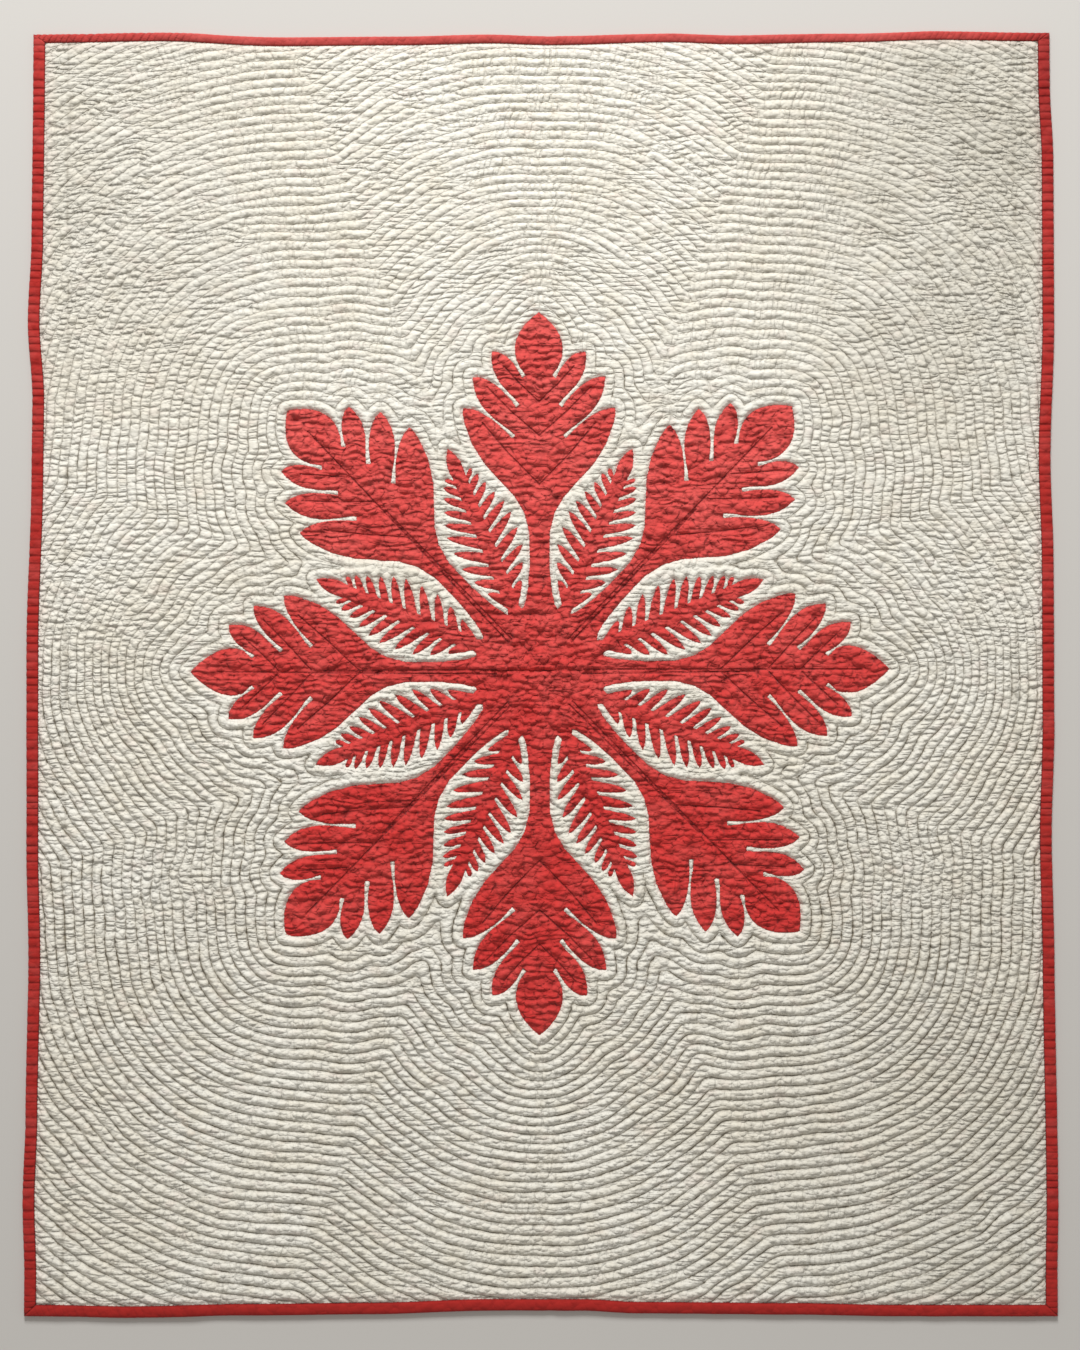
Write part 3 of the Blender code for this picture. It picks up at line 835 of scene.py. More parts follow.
edge_loop = dense([*outline, outline[0]], EDGE_STEP)[:-1]
red_points = [edge_loop]
for distance in RIM_ROWS:
    ring = offset_inwards(edge_loop, distance)
    good = is_inside(ring, outline) & (nearest(ring, edge_samples) > 0.9 * distance)
    red_points.append(ring[good])
reach = max(tip for _, tip, _, _ in LEAVES) + 5.0
ticks_x = np.arange(-reach, reach, FILL_STEP)
ticks_y = np.arange(-reach, reach, FILL_STEP * 0.87)
fill_x, fill_y = np.meshgrid(ticks_x, ticks_y)
fill_x = fill_x + np.where(np.arange(len(ticks_y)) % 2, 0.5 * FILL_STEP, 0.0)[:, None]
fill = np.column_stack((fill_x.ravel(), fill_y.ravel())) + np.array(MOTIF_CENTRE)
fill = fill[is_inside(fill, outline)]
vein_samples = np.concatenate(veins)
roomy = nearest(fill, edge_samples) > EDGE_CLEARANCE
roomy &= nearest(fill, vein_samples) > VEIN_CLEARANCE
red_points.append(fill[roomy])
print("points on the red cloth:", sum(len(part) for part in red_points))

# %% The red cloth as triangles
first_vein = sum(len(part) for part in red_points)
red_edges = []
for vein in veins:
    count = len(vein)
    red_edges += [(first_vein + k, first_vein + k + 1) for k in range(count - 1)]
    red_points.append(vein)
    first_vein += count
plain_points = [Vector(point) for point in np.concatenate(red_points).tolist()]
result = delaunay_2d_cdt(plain_points, red_edges, [list(range(len(edge_loop)))], 1, 1e-4)
red_flat = np.array([(v.x, v.y) for v in result[0]])
red_faces = [tuple(face) for face in result[2]]
print("triangles on the red cloth:", len(red_faces))

# %% [markdown]
# ## Puffs and creases of the red cloth
#
# Between its veins the red cloth is drawn into small puffs. Their middles are scattered on a
# jittered grid, closer in the centre of the motif. For each point of the cloth the distance to
# the second nearest middle less that to the nearest is 0 where two puffs meet, and it grows from
# there. The puffs are wider than they are high, because the cloth shrank more one way.

# %% Puffs of the red cloth
PUFF_WIDTH = 1.5
CENTRE_PUFFS = 6.6
LEAF_PUFFS = 8.4
CENTRE_REACH = 78.0


def puff_middles(spacing, from_radius, to_radius, seed):
    """Middles of puffs on a jittered grid, between two distances from the middle of the motif."""
    random = np.random.default_rng(seed)
    steps = np.arange(-400.0, 400.0, spacing)
    middles = np.stack(np.meshgrid(steps * PUFF_WIDTH, steps), axis=-1)
    middles[1::2, :, 0] += 0.5 * spacing * PUFF_WIDTH
    middles += random.uniform(-0.4, 0.4, middles.shape) * (spacing * PUFF_WIDTH, spacing)
    middles = middles.reshape(-1, 2)
    away = np.hypot(middles[:, 0], middles[:, 1])
    return middles[(away >= from_radius) & (away < to_radius)]


middles = np.vstack((
    puff_middles(CENTRE_PUFFS, 0.0, CENTRE_REACH, 5),
    puff_middles(LEAF_PUFFS, CENTRE_REACH, 560.0, 6),
))
puff_tree = tree_of(middles / (PUFF_WIDTH, 1.0))
from_crease = np.zeros(len(red_flat))
for index, (x, y) in enumerate(red_flat.tolist()):
    (_, _, first), (_, _, second) = puff_tree.find_n((x / PUFF_WIDTH, y, 0.0), 2)
    from_crease[index] = second - first
print("puffs of the red cloth:", len(middles))

# %% Creases of the red cloth
red_x, red_y = red_flat[:, 0], red_flat[:, 1]
to_edge = nearest(red_flat, edge_samples)
on_edge = np.zeros(len(red_flat), bool)
for new_index, sources in enumerate(result[3]):
    if any(source < len(edge_loop) for source in sources):
        on_edge[new_index] = True
to_edge[on_edge] = 0.0
to_vein = nearest(red_flat, vein_samples)
sewn = np.minimum(to_edge, to_vein)
radius = np.hypot(red_x - MOTIF_CENTRE[0], red_y - MOTIF_CENTRE[1])
centre = 1.0 - smooth_step(55.0, 90.0, radius)
red_weft = 0.75 * weft_phase(red_x, red_y) + 0.5 * uneven(red_x / 13.0, red_y / 9.0, 54)
red_warp = 0.7 * warp_phase(red_x, red_y) + 0.5 * uneven(red_x / 9.0, red_y / 14.0, 55)
lit_side = smooth_step(120.0, -160.0, red_x - red_y)
patches = 0.55 + 0.9 * uneven(red_x / 12.0, red_y / 8.0, 51) + 0.2 * lit_side - 0.1 * centre
patches = np.clip(patches, 0.0, 1.2)
knobs = np.clip(0.3 + 0.8 * uneven(red_x / 11.0, red_y / 13.0, 52) + 0.1 * centre, 0.0, 1.1)
creases = (1.0 - pillow(red_weft, 1.8)) * patches
dents = (1.0 - pillow(red_warp, 1.8)) * knobs
print("points on the sewn edge:", int(on_edge.sum()))

# %% [markdown]
# ## The height of the red cloth
#
# The cloth rises steeply from its sewn edge to a rim, swells between edge and veins, and sinks
# into a groove at each vein. Puffs, lumps, creases and dents come on top of that. The centre has
# two marks of its own: a fold that crosses it from side to side, with a soft lip on each side,
# and a pair of tufts above the fold.

# %% The height of the red cloth
RIM_HEIGHT = 1.35
RIM_WIDTH = 1.9
PUFF_HEIGHT = 1.9
PUFF_REACH = 4.2
GROOVE_DEPTH = 1.2
GROOVE_WIDTH = 1.2
EDGE_SINK = 0.15
FOLD_OFFSET = 1.5
TUFTS = ((-22.0, 56.0), (22.0, 58.0))

inside = np.clip(to_edge / 2.5, 0.0, 1.0)
puff = PUFF_HEIGHT * (1.0 - np.exp(-((sewn / PUFF_REACH) ** 2)))
rim = RIM_HEIGHT * np.sqrt(np.clip(to_edge / RIM_WIDTH, 0.0, 1.0))
groove = GROOVE_DEPTH * np.exp(-((to_vein / GROOVE_WIDTH) ** 2)) * inside
lumpy = (0.5 + 0.4 * centre) * uneven(red_x / 7.0, red_y / 6.0, 53)
lumpy += (1.0 + 1.6 * centre) * uneven(red_x / 14.0, red_y / 11.0, 56)
to_fold = np.abs(red_y - MOTIF_CENTRE[1] - FOLD_OFFSET - 1.6 * waver(red_x, 24.0, 58))
across_fold = 2.2 * np.exp(-((to_fold / 1.7) ** 2)) - 0.9 * np.exp(-(((to_fold - 4.6) / 2.6) ** 2))
across_fold *= 1.0 - smooth_step(45.0, 85.0, np.abs(red_x))
to_fold += 0.1 * np.maximum(np.abs(red_x) - 46.0, 0.0)
tufts = np.zeros_like(red_x)
for tuft_x, tuft_y in TUFTS:
    tufts += np.exp(-(((red_x - tuft_x) / 11.0) ** 2) - ((red_y - tuft_y) / 10.0) ** 2)
red_z = rim - groove + puff * (1.0 - 0.6 * creases - 0.45 * dents)
puff_depth = 1.15 + 0.9 * centre + 0.6 * uneven(red_x / 28.0, red_y / 28.0, 57)
puff_depth = np.clip(puff_depth, 0.3, 2.4)
red_z += inside * puff_depth * (smooth_step(0.0, 4.5, from_crease) - 0.5)
red_z += inside * (lumpy + 1.3 * tufts - 1.2 * across_fold - 0.8 * creases - 0.5 * dents)
least = -0.6 * smooth_step(1.5, 4.0, to_edge)
red_z = VALLEY_Z - EDGE_SINK + swell(red_x, red_y) + np.maximum(red_z, least)
motif = cloth_object(
    "leaf_and_fern_motif",
    np.column_stack((red_x, red_y, red_z)),
    red_faces,
    red_cotton,
    {
        "to_edge": to_edge, "to_vein": np.minimum(to_vein, to_fold), "weft": red_weft,
        "patches": patches, "warp": red_warp, "knobs": knobs, "from_crease": from_crease,
    },
)
print("the motif's top lies up to", round(red_z.max(), 2), "mm above the floor")

# %% [markdown]
# ## The binding
#
# The edge is closed by four strips of red cloth, each folded round the layers and sewn down on
# both sides, with a mitre at each corner. A strip is a loft: one section, repeated at stations
# along its edge. The creases of the quilt pull the strips at the left and right into a row of
# small tucks. The strips at the top and bottom stay nearly smooth, because there the creases run
# along them, except near the left end of the top, where slanted tucks twist it like a rope.

# %% One strip of binding
STATION_STEP = {"bottom": 2.9, "right": 2.2, "top": 2.1, "left": 2.2}
TUCK_SLANT = {"bottom": 0.5, "right": 0.0, "top": 0.6, "left": 0.0}
CLOTH = 1.0
GAP = 0.3
UPPER_Z = 3.5


def strip_section(width):
    """The section of a strip as inset, height and how much each point takes part in a tuck."""
    section = [(width, 0.0, 0.0), (0.5 * width, 0.0, 0.0), (1.8, 0.0, 0.0)]
    for step in range(1, 6):
        angle = math.radians(90.0 + 18.0 * step)
        section.append((1.8 + 1.8 * math.cos(angle), 1.8 - 1.8 * math.sin(angle), 0.08 * step))
    section += [(0.0, 2.7, 0.6), (0.25, 3.8, 0.8), (0.9, 4.9, 1.0), (2.2, 5.6, 1.0)]
    section += [(0.38 * width, 5.9, 1.0), (0.58 * width, 5.8, 1.0), (0.78 * width, 5.3, 0.9)]
    section += [(0.92 * width, 4.5, 0.5), (width, 3.6, 0.1)]
    section += [(width - 0.7, UPPER_Z, 0.0), (0.5 * width, UPPER_Z, 0.0)]
    section += [(CLOTH, UPPER_Z - 0.2, 0.0), (CLOTH, CLOTH, 0.0), (width, CLOTH, 0.0)]
    return section


def tuck_depth(side, along):
    """How deep the small tucks are along a strip, from 0 to 1."""
    wave = np.clip(0.7 + 0.5 * waver(along, 15.0, 61, 3.5), 0.1, 1.0)
    if side in ("left", "right"):
        return wave
    ends = smooth_step(-330.0, -430.0, along) + 0.25 * smooth_step(400.0, 470.0, along)
    if side == "top":
        return wave * (0.3 + 0.8 * ends)
    return wave * (0.12 + 0.2 * ends)


def tuck_phase(side, along):
    """Counts the tucks along a strip; their spacing is as uneven as the creases beside them."""
    pitch = 8.7 if side in ("left", "right") else 7.4
    return along / pitch + 0.75 * waver(along, 26.0, 63, 5.5)


def waviness(side, along):
    """The slow waves that lift and lower a strip, with a pinch at the fold in the middle."""
    wave = 0.5 + 0.5 * waver(along, 37.0, 64, 9.5)
    if side in ("top", "bottom"):
        wave = wave + 0.6 * waver(along, 23.0, 65, 1.5)
        wave = wave + 0.9 * np.exp(-(((along - 10.0) / 5.0) ** 2))
    return wave


def run_of(side):
    """If a side is level, its hand, the widths beside it, and where it starts and ends."""
    level = side in ("bottom", "top")
    hand = 1 if side in ("right", "top") else -1
    before, after = ("left", "right") if level else ("bottom", "top")
    corner = hand * (HALF_LENGTH if level else HALF_WIDTH)
    widths = (BINDING_WIDTH[before], BINDING_WIDTH[after])
    return level, hand, widths, edge_line(before, corner), edge_line(after, corner)


def make_strip(side):
    """One strip of binding, from mitre to mitre."""
    level, hand, (width_before, width_after), full_start, full_end = run_of(side)
    width = BINDING_WIDTH[side]
    stations = math.ceil((full_end - full_start) / STATION_STEP[side])
    parts = np.linspace(0.0, 1.0, stations + 1)
    section = strip_section(width)
    lines = []
    for inset, z_here, share in section:
        first = full_start + inset * width_before / width + GAP
        last = full_end - inset * width_after / width - GAP
        along = first + (last - first) * parts
        slanted_along = along + TUCK_SLANT[side] * inset
        tucks = (1.0 - pillow(tuck_phase(side, slanted_along), 1.7)) * tuck_depth(side, along)
        line = edge_line(side, along) - hand * inset
        line = line - hand * share * (0.6 * tucks + 0.25 * waviness(side, along))
        dip = np.minimum(1.7 * tucks + 0.45 * waviness(side, along), 1.95)
        height_here = z_here - share * dip
        place = (along, line) if level else (line, along)
        lines.append(np.column_stack((*place, np.maximum(height_here, 0.0))))
    points = np.array(lines).transpose(1, 0, 2).reshape(-1, 3)
    count = len(section)
    faces = [tuple(range(count)), tuple(range(len(points) - 1, len(points) - 1 - count, -1))]
    for step in range(stations):
        for k in range(count):
            here, there = step * count + k, step * count + (k + 1) % count
            faces.append((here, here + count, there + count, there))
    run_along = points[:, 0 if level else 1]
    insets = np.tile([inset for inset, _, _ in section], stations + 1)
    on_top = [z_here > UPPER_Z + 0.05 for _, z_here, _ in section]
    values = {
        "from_seam": width - insets,
        "on_top": np.tile(on_top, stations + 1),
        "tuck": tuck_phase(side, run_along + TUCK_SLANT[side] * insets),
        "tuck_depth": tuck_depth(side, run_along),
    }
    strip = cloth_object("binding_strip_" + side, points, faces, red_binding, values)
    work = bmesh.new()
    work.from_mesh(strip.data)
    bmesh.ops.recalc_face_normals(work, faces=work.faces)
    work.to_mesh(strip.data)
    work.free()
    print(strip.name, stations, "stations")
    return strip


strips = {side: make_strip(side) for side in EDGES}

# %% [markdown]
# ## The thread
#
# Three rows of hand stitches can be seen up close: whip stitches that hold the turned edge of the
# motif, running stitches along the veins of its leaves, and the hem of the binding. A row of
# stitches is the same small shape at even steps along a line, which is what Geometry Nodes are
# made for. One tree turns a line into points, turns each point to the line, sets a slim bead on it
# and gives each a little sway of its own. Four numbers on the tree make it a whip or a running
# stitch. The quilting stitches of the ground would be tens of thousands of beads, far more than
# the mesh may hold, so they stay in its finish. A small helper adds a node and joins its inputs
# in one call, so that each tree and each recipe for a finish reads from top to bottom.

# %% Helpers that add nodes
def put(tree, kind, inputs=None, **settings):
    """Adds a node, gives it its settings, and joins or sets each named input."""
    made = tree.nodes.new(kind)
    for name, value in settings.items():
        setattr(made, name, value)
    for name, value in (inputs or {}).items():
        if isinstance(value, bpy.types.NodeSocket):
            tree.links.new(value, made.inputs[name])
        else:
            made.inputs[name].default_value = value
    return made


def maths(tree, operation, *values):
    """One sum; its values are sockets or numbers."""
    inputs = dict(enumerate(values))
    return put(tree, "ShaderNodeMath", inputs, operation=operation).outputs[0]


# %% A tree that sews along a line
STITCH_SIDES = 6
STITCH_RINGS = 2
STITCH_SEED = 7
STITCH_SWAY = 0.25
LEAST_HALF_LENGTH = 0.4
MOST_HALF_LENGTH = 0.58


def stitch_tree(name, thread):
    """A node group that sews along the edges of a mesh with a thread."""
    tree = bpy.data.node_groups.new(name, "GeometryNodeTree")
    tree.interface.new_socket("Line", in_out="INPUT", socket_type="NodeSocketGeometry")
    for label in ("Spacing", "Length", "Width", "Turn"):
        tree.interface.new_socket(label, in_out="INPUT", socket_type="NodeSocketFloat")
    tree.interface.new_socket("Stitches", in_out="OUTPUT", socket_type="NodeSocketGeometry")
    given = put(tree, "NodeGroupInput").outputs
    # Points at even steps along the line, each turned to it and then by the angle of the stitch.
    curve = put(tree, "GeometryNodeMeshToCurve", {"Mesh": given["Line"]}).outputs["Curve"]
    inputs = {"Curve": curve, "Length": given["Spacing"]}
    points = put(tree, "GeometryNodeCurveToPoints", inputs, mode="LENGTH").outputs
    inputs = {"Vector": points["Tangent"]}
    along = put(tree, "FunctionNodeAlignRotationToVector", inputs, axis="X").outputs["Rotation"]
    inputs = {2: -STITCH_SWAY, 3: STITCH_SWAY, "Seed": STITCH_SEED}
    sway = put(tree, "FunctionNodeRandomValue", inputs).outputs[1]
    inputs = {"Axis": (0.0, 0.0, 1.0), "Angle": maths(tree, "ADD", given["Turn"], sway)}
    about_up = put(tree, "FunctionNodeAxisAngleToRotation", inputs).outputs["Rotation"]
    inputs = {"Rotation": along, "Rotate By": about_up}
    facing = put(tree, "FunctionNodeRotateRotation", inputs, rotation_space="LOCAL")
    # A slim bead on each point, as long and as wide as the stitch.
    inputs = {2: LEAST_HALF_LENGTH, 3: MOST_HALF_LENGTH, "Seed": STITCH_SEED + 1}
    share = put(tree, "FunctionNodeRandomValue", inputs).outputs[1]
    half_length = maths(tree, "MULTIPLY", given["Length"], share)
    half_width = maths(tree, "MULTIPLY", given["Width"], 0.5)
    inputs = {"X": half_length, "Y": half_width, "Z": half_width}
    size = put(tree, "ShaderNodeCombineXYZ", inputs).outputs["Vector"]
    inputs = {"Segments": STITCH_SIDES, "Rings": STITCH_RINGS, "Radius": 1.0}
    bead = put(tree, "GeometryNodeMeshUVSphere", inputs).outputs["Mesh"]
    inputs = {"Points": points["Points"], "Instance": bead, "Scale": size}
    inputs["Rotation"] = facing.outputs["Rotation"]
    beads = put(tree, "GeometryNodeInstanceOnPoints", inputs).outputs["Instances"]
    real = put(tree, "GeometryNodeRealizeInstances", {"Geometry": beads}).outputs["Geometry"]
    inputs = {"Geometry": real, "Material": thread}
    dyed = put(tree, "GeometryNodeSetMaterial", inputs).outputs["Geometry"]
    put(tree, "NodeGroupOutput", {"Stitches": dyed})
    return tree


red_stitches = stitch_tree("stitches_in_red_thread", red_thread)
print("the tree has", len(red_stitches.nodes), "nodes")

# %% [markdown]
# ## Sewing along lines
#
# A line of points becomes a mesh of edges, the tree sews along it, and the evaluated result is
# turned into a plain mesh. Each number goes to its input by the identifier of the socket, because
# a modifier knows its inputs by that and not by their names. Whip stitches lean across the edge
# that they hold, and running stitches lie along their line.

# %% Sewing along lines on the cloth
WHIP = {"Spacing": 3.4 * MM, "Length": 1.7 * MM, "Width": 0.5 * MM, "Turn": math.radians(70.0)}
RUNNING = {"Spacing": 4.2 * MM, "Length": 2.3 * MM, "Width": 0.45 * MM, "Turn": 0.0}
HEMMING = {"Spacing": 4.6 * MM, "Length": 1.8 * MM, "Width": 0.55 * MM, "Turn": math.radians(65.0)}
WHIP_INSET = 0.45
WHIP_LIFT = 0.5
RUNNING_LIFT = 0.25
HEM_Z = 3.55
HEM_POINTS = 420


def sewn_lines(name, tree, lines, **sizes):
    """Sews along lines of points in millimetres; sizes are the named inputs of the tree."""
    points = np.concatenate(lines)
    ends = np.cumsum([len(line) for line in lines])
    edges = [(k, k + 1) for k in range(len(points) - 1) if k + 1 not in ends]
    mesh = bpy.data.meshes.new(name)
    mesh.from_pydata((points * MM).tolist(), edges, [])
    piece = bpy.data.objects.new(name, mesh)
    bpy.context.scene.collection.objects.link(piece)
    modifier = piece.modifiers.new("sew", "NODES")
    modifier.node_group = tree
    for socket in tree.interface.items_tree:
        if socket.in_out == "INPUT" and socket.name in sizes:
            modifier[socket.identifier] = sizes[socket.name]
    evaluated = piece.evaluated_get(bpy.context.evaluated_depsgraph_get())
    sewn_mesh = bpy.data.meshes.new_from_object(evaluated)
    piece.modifiers.clear()
    piece.data = sewn_mesh
    sewn_mesh.shade_smooth()
    triangles = sum(len(face.vertices) - 2 for face in sewn_mesh.polygons)
    print(name, "has", triangles, "triangles")
    return piece


def on_red(line, lift):
    """A line on the plane, laid on the nearest places of the red cloth."""
    heights = [red_z[red_tree.find((x, y, 0.0))[1]] + lift for x, y in line.tolist()]
    return np.column_stack((line, heights))


red_tree = tree_of(red_flat)
whip_line = offset_inwards(edge_loop, WHIP_INSET)
whip_line = np.vstack((whip_line, whip_line[:1]))
whip_z = VALLEY_Z + swell(whip_line[:, 0], whip_line[:, 1]) + WHIP_LIFT
edge_stitches = sewn_lines(
    "motif_edge_stitches", red_stitches, [np.column_stack((whip_line, whip_z))], **WHIP
)
vein_stitches = sewn_lines(
    "vein_stitches", red_stitches, [on_red(vein, RUNNING_LIFT) for vein in veins], **RUNNING
)


def hem_line(side):
    """The line along the inner edge of one strip, as the needle goes."""
    level, hand, (width_before, width_after), start, end = run_of(side)
    along = np.linspace(start + width_before + 1.0, end - width_after - 1.0, HEM_POINTS)
    inner = edge_line(side, along) - hand * (BINDING_WIDTH[side] + 0.1)
    place = (along, inner) if level else (inner, along)
    return np.column_stack((*place, np.full_like(along, HEM_Z)))


hem_stitches = sewn_lines(
    "binding_hem_stitches", red_stitches, [hem_line(side) for side in EDGES], **HEMMING
)

# %% [markdown]
# ## The finish of white cotton
#
# Up close the ground is plain woven cotton, washed many times. Three things make it look old and soft:
# the sewn lines are dark and thin, with painted shade where the stitches pull them tight, the creases
# carry a paler painted shade, and the whole cloth has broad warm and cool patches. Painted shade also
# greys it towards three corners and the right side. The numbers that the cloth carries draw all of this
# at any distance, which a painted picture couldn't do. Each finish is a short recipe, and the recipes
# share a few helpers.

# %% Helpers for the recipes
def times(tree, first, *others):
    """Multiplies two or more values."""
    for other in others:
        first = maths(tree, "MULTIPLY", first, other)
    return first


def summed(tree, *rows):
    """Adds up values, each times its share; a row is a share and a socket."""
    (share, value), *others = rows
    total = times(tree, value, share)
    for share, value in others:
        total = maths(tree, "MULTIPLY_ADD", value, share, total)
    return total


def carried(tree, label):
    """A number that the cloth carries at each point."""
    return put(tree, "ShaderNodeAttribute", attribute_name=label).outputs["Fac"]


def ramp_between(tree, value, start, end):
    """0 at the start and 1 at the end, with a smooth rise between."""
    inputs = {"Value": value, "From Min": start, "From Max": end}
    made = put(tree, "ShaderNodeMapRange", inputs, interpolation_type="SMOOTHSTEP")
    return made.outputs["Result"]


def on_whole_numbers(tree, count, start):
    """1 at each whole number of a count, 0 from a part of the way to the half onwards."""
    away = maths(tree, "MULTIPLY_ADD", maths(tree, "FRACT", count), 2.0, -1.0)
    return ramp_between(tree, maths(tree, "ABSOLUTE", away), start, 1.0)


def place_on_cloth(tree, scale):
    """The place on the quilt, scaled to suit a pattern."""
    at = put(tree, "ShaderNodeTexCoord").outputs["Object"]
    return put(tree, "ShaderNodeMapping", {"Vector": at, "Scale": scale}).outputs["Vector"]


def noise(tree, scale, detail=2.0, rough=0.5):
    """Soft random values round one half; the scale is swings for each metre along x, y and z."""
    inputs = {"Vector": place_on_cloth(tree, scale), "Scale": 1.0}
    inputs.update({"Detail": detail, "Roughness": rough})
    return put(tree, "ShaderNodeTexNoise", inputs).outputs["Fac"]


def clouds(tree, scale, detail, rough, low, high):
    """Soft patches: random values that count as 0 below low and as 1 above high."""
    return ramp_between(tree, noise(tree, scale, detail, rough), low, high)


def knobbly(tree, scale):
    """Rounded knobs with sharp creases between; 0 on a knob; the scale is knobs for each metre."""
    inputs = {"Vector": place_on_cloth(tree, scale), "Scale": 1.0, "Randomness": 1.0}
    away = put(tree, "ShaderNodeTexVoronoi", inputs).outputs["Distance"]
    return times(tree, away, away)


def tinted(tree, share, colour, other):
    """Mixes two colours; either may be a socket."""
    inputs = {0: share, 6: colour, 7: other}
    return put(tree, "ShaderNodeMix", inputs, data_type="RGBA").outputs[2]


def weave(tree, threads):
    """Plain weave as two sets of waves, threads to the metre."""
    scale = threads * math.tau / 20.0
    sets = []
    for direction in ("X", "Y"):
        inputs = {"Vector": place_on_cloth(tree, (1, 1, 1)), "Scale": scale}
        inputs.update({"Distortion": 1.5, "Detail": 0.0})
        wave = put(tree, "ShaderNodeTexWave", inputs, bands_direction=direction)
        sets.append(wave.outputs["Fac"])
    return maths(tree, "ADD", *sets)


def finished(tree, colour, height, roughness, sheen):
    """Joins a colour and a height in millimetres to the shader of a finish."""
    shader = tree.nodes["Principled BSDF"]
    shader.inputs["Roughness"].default_value = roughness
    shader.inputs["Sheen Weight"].default_value = sheen
    shader.inputs["Sheen Roughness"].default_value = 0.5
    shader.inputs["Specular IOR Level"].default_value = 0.2
    tree.links.new(colour, shader.inputs["Base Color"])
    bump = put(tree, "ShaderNodeBump", {"Height": height, "Distance": MM, "Strength": 1.0})
    tree.links.new(bump.outputs["Normal"], shader.inputs["Normal"])


# %% White cotton
WEAVE = 1900.0
CREAM = (0.88, 0.855, 0.775, 1.0)
WARM_CREAM = (0.80, 0.745, 0.62, 1.0)
GREY_CREAM = (0.52, 0.49, 0.41, 1.0)
# The colour of painted shade in the sewn lines and creases, also used for the seams.
SHADE_AND_SEAM_BROWN = (0.22, 0.185, 0.13, 1.0)
RUST = (0.50, 0.31, 0.17, 1.0)
PINK = (0.72, 0.47, 0.42, 1.0)
# For each set of clouds: its share, its colour, and what the helper for clouds is given.
WHITE_CLOUDS = (
    (0.45, WARM_CREAM, ((5.5, 5.5, 5.5), 3.0, 0.5, 0.35, 0.7)),
    (0.5, WARM_CREAM, ((32, 38, 32), 4.0, 0.6, 0.42, 0.7)),
    (0.13, PINK, ((40, 55, 40), 3.0, 0.6, 0.54, 0.72)),
)
# For each rust stain: its middle, its size and its strength.
STAINS = (
    (6, 600, 22, 0.5), (2, 470, 26, 0.35), (110, 590, 40, 0.2), (-6, 390, 16, 0.3),
    (-370, -485, 34, 0.3), (120, -430, 60, 0.2), (300, -260, 70, 0.2), (-60, -560, 50, 0.15),
)


def stains(tree):
    """How much old rust shows at a place: round patches broken up by noise."""
    at = put(tree, "ShaderNodeTexCoord").outputs["Object"]
    total = None
    for x, y, size, strength in STAINS:
        spot = {0: at, 1: (x * MM, y * MM, 0.005)}
        away = put(tree, "ShaderNodeVectorMath", spot, operation="DISTANCE").outputs["Value"]
        patch = times(tree, ramp_between(tree, away, size * MM, 0.0), strength)
        total = patch if total is None else maths(tree, "ADD", total, patch)
    return times(tree, total, clouds(tree, (110, 110, 110), 3.0, 0.6, 0.48, 0.68))


def finish_white():
    """Washed cotton with painted shade in its sewn valleys and creases, seams and a few stains."""
    white = white_cotton.node_tree
    # The lines and creases wiggle a little, and a crease shows on the rolls alone.
    wiggle = maths(white, "MULTIPLY_ADD", noise(white, (210, 210, 210), 2.0), 0.24, -0.12)
    turns_here = maths(white, "ADD", carried(white, "turns"), wiggle)
    valley = on_whole_numbers(white, turns_here, 0.5)
    thread_line = on_whole_numbers(white, turns_here, 0.84)
    on_roll = maths(white, "SUBTRACT", 1.0, on_whole_numbers(white, turns_here, 0.6))
    crease = on_whole_numbers(white, maths(white, "ADD", carried(white, "weft"), wiggle), 0.35)
    crease = times(white, crease, carried(white, "crossing"), on_roll)
    knot = on_whole_numbers(white, maths(white, "ADD", carried(white, "warp"), wiggle), 0.4)
    knot = times(white, knot, carried(white, "knots"), on_roll)
    # Painted shade darkens all of them, in broken lines: the sewn valleys and their thread line most,
    # the creases less, and the seams are drawn darker too.
    broken = clouds(white, (120, 160, 120), 2.0, 0.5, 0.35, 0.6)
    dashed = maths(white, "MULTIPLY_ADD", broken, 0.6, 0.4)
    shade_and_seams = times(white, summed(white, (0.62, valley), (0.85, thread_line)), carried(white, "sewn"))
    shade_and_seams = times(white, summed(white, (1.0, shade_and_seams), (0.17, crease), (0.13, knot)), dashed)
    shade_and_seams = maths(white, "MULTIPLY_ADD", carried(white, "seams"), 0.5, shade_and_seams)
    # The cloth itself is cream with warm, rosy and grey clouds, rust and a trace of red dye, and
    # painted shade greys it towards three corners and the right side.
    colour = CREAM
    for share, tint, cloud in WHITE_CLOUDS:
        colour = tinted(white, times(white, clouds(white, *cloud), share), colour, tint)
    speckled = clouds(white, (170, 210, 170), 3.0, 0.7, 0.52, 0.78)
    # Random grey speckles, plus painted shade towards three corners and the right side.
    grey = maths(white, "MULTIPLY_ADD", speckled, 0.4, carried(white, "painted_falloff"))
    colour = tinted(white, grey, colour, GREY_CREAM)
    colour = tinted(white, stains(white), colour, RUST)
    near_binding = ramp_between(white, carried(white, "from_binding"), 16.0, 0.0)
    colour = tinted(white, times(white, near_binding, 0.14), colour, PINK)
    # Painted shade in the sewn lines and creases, with the seams.
    colour = tinted(white, shade_and_seams, colour, SHADE_AND_SEAM_BROWN)
    # Height finer than the faces: knobs, the thread in its valley, creases and the weave.
    rough = noise(white, (190, 260, 190), 2.0, 0.6)
    fine = summed(white, (-1.9, knobbly(white, (125, 170, 125))), (1.0, rough))
    height = summed(
        white, (1.0, times(white, fine, carried(white, "fineness"))), (-0.5, thread_line),
        (-0.4, valley), (-1.1, crease), (-0.7, knot), (0.02, weave(white, WEAVE)),
    )
    finished(white, colour, height, 0.9, 0.1)


finish_white()
print("white cotton has", len(white_cotton.node_tree.nodes), "nodes")

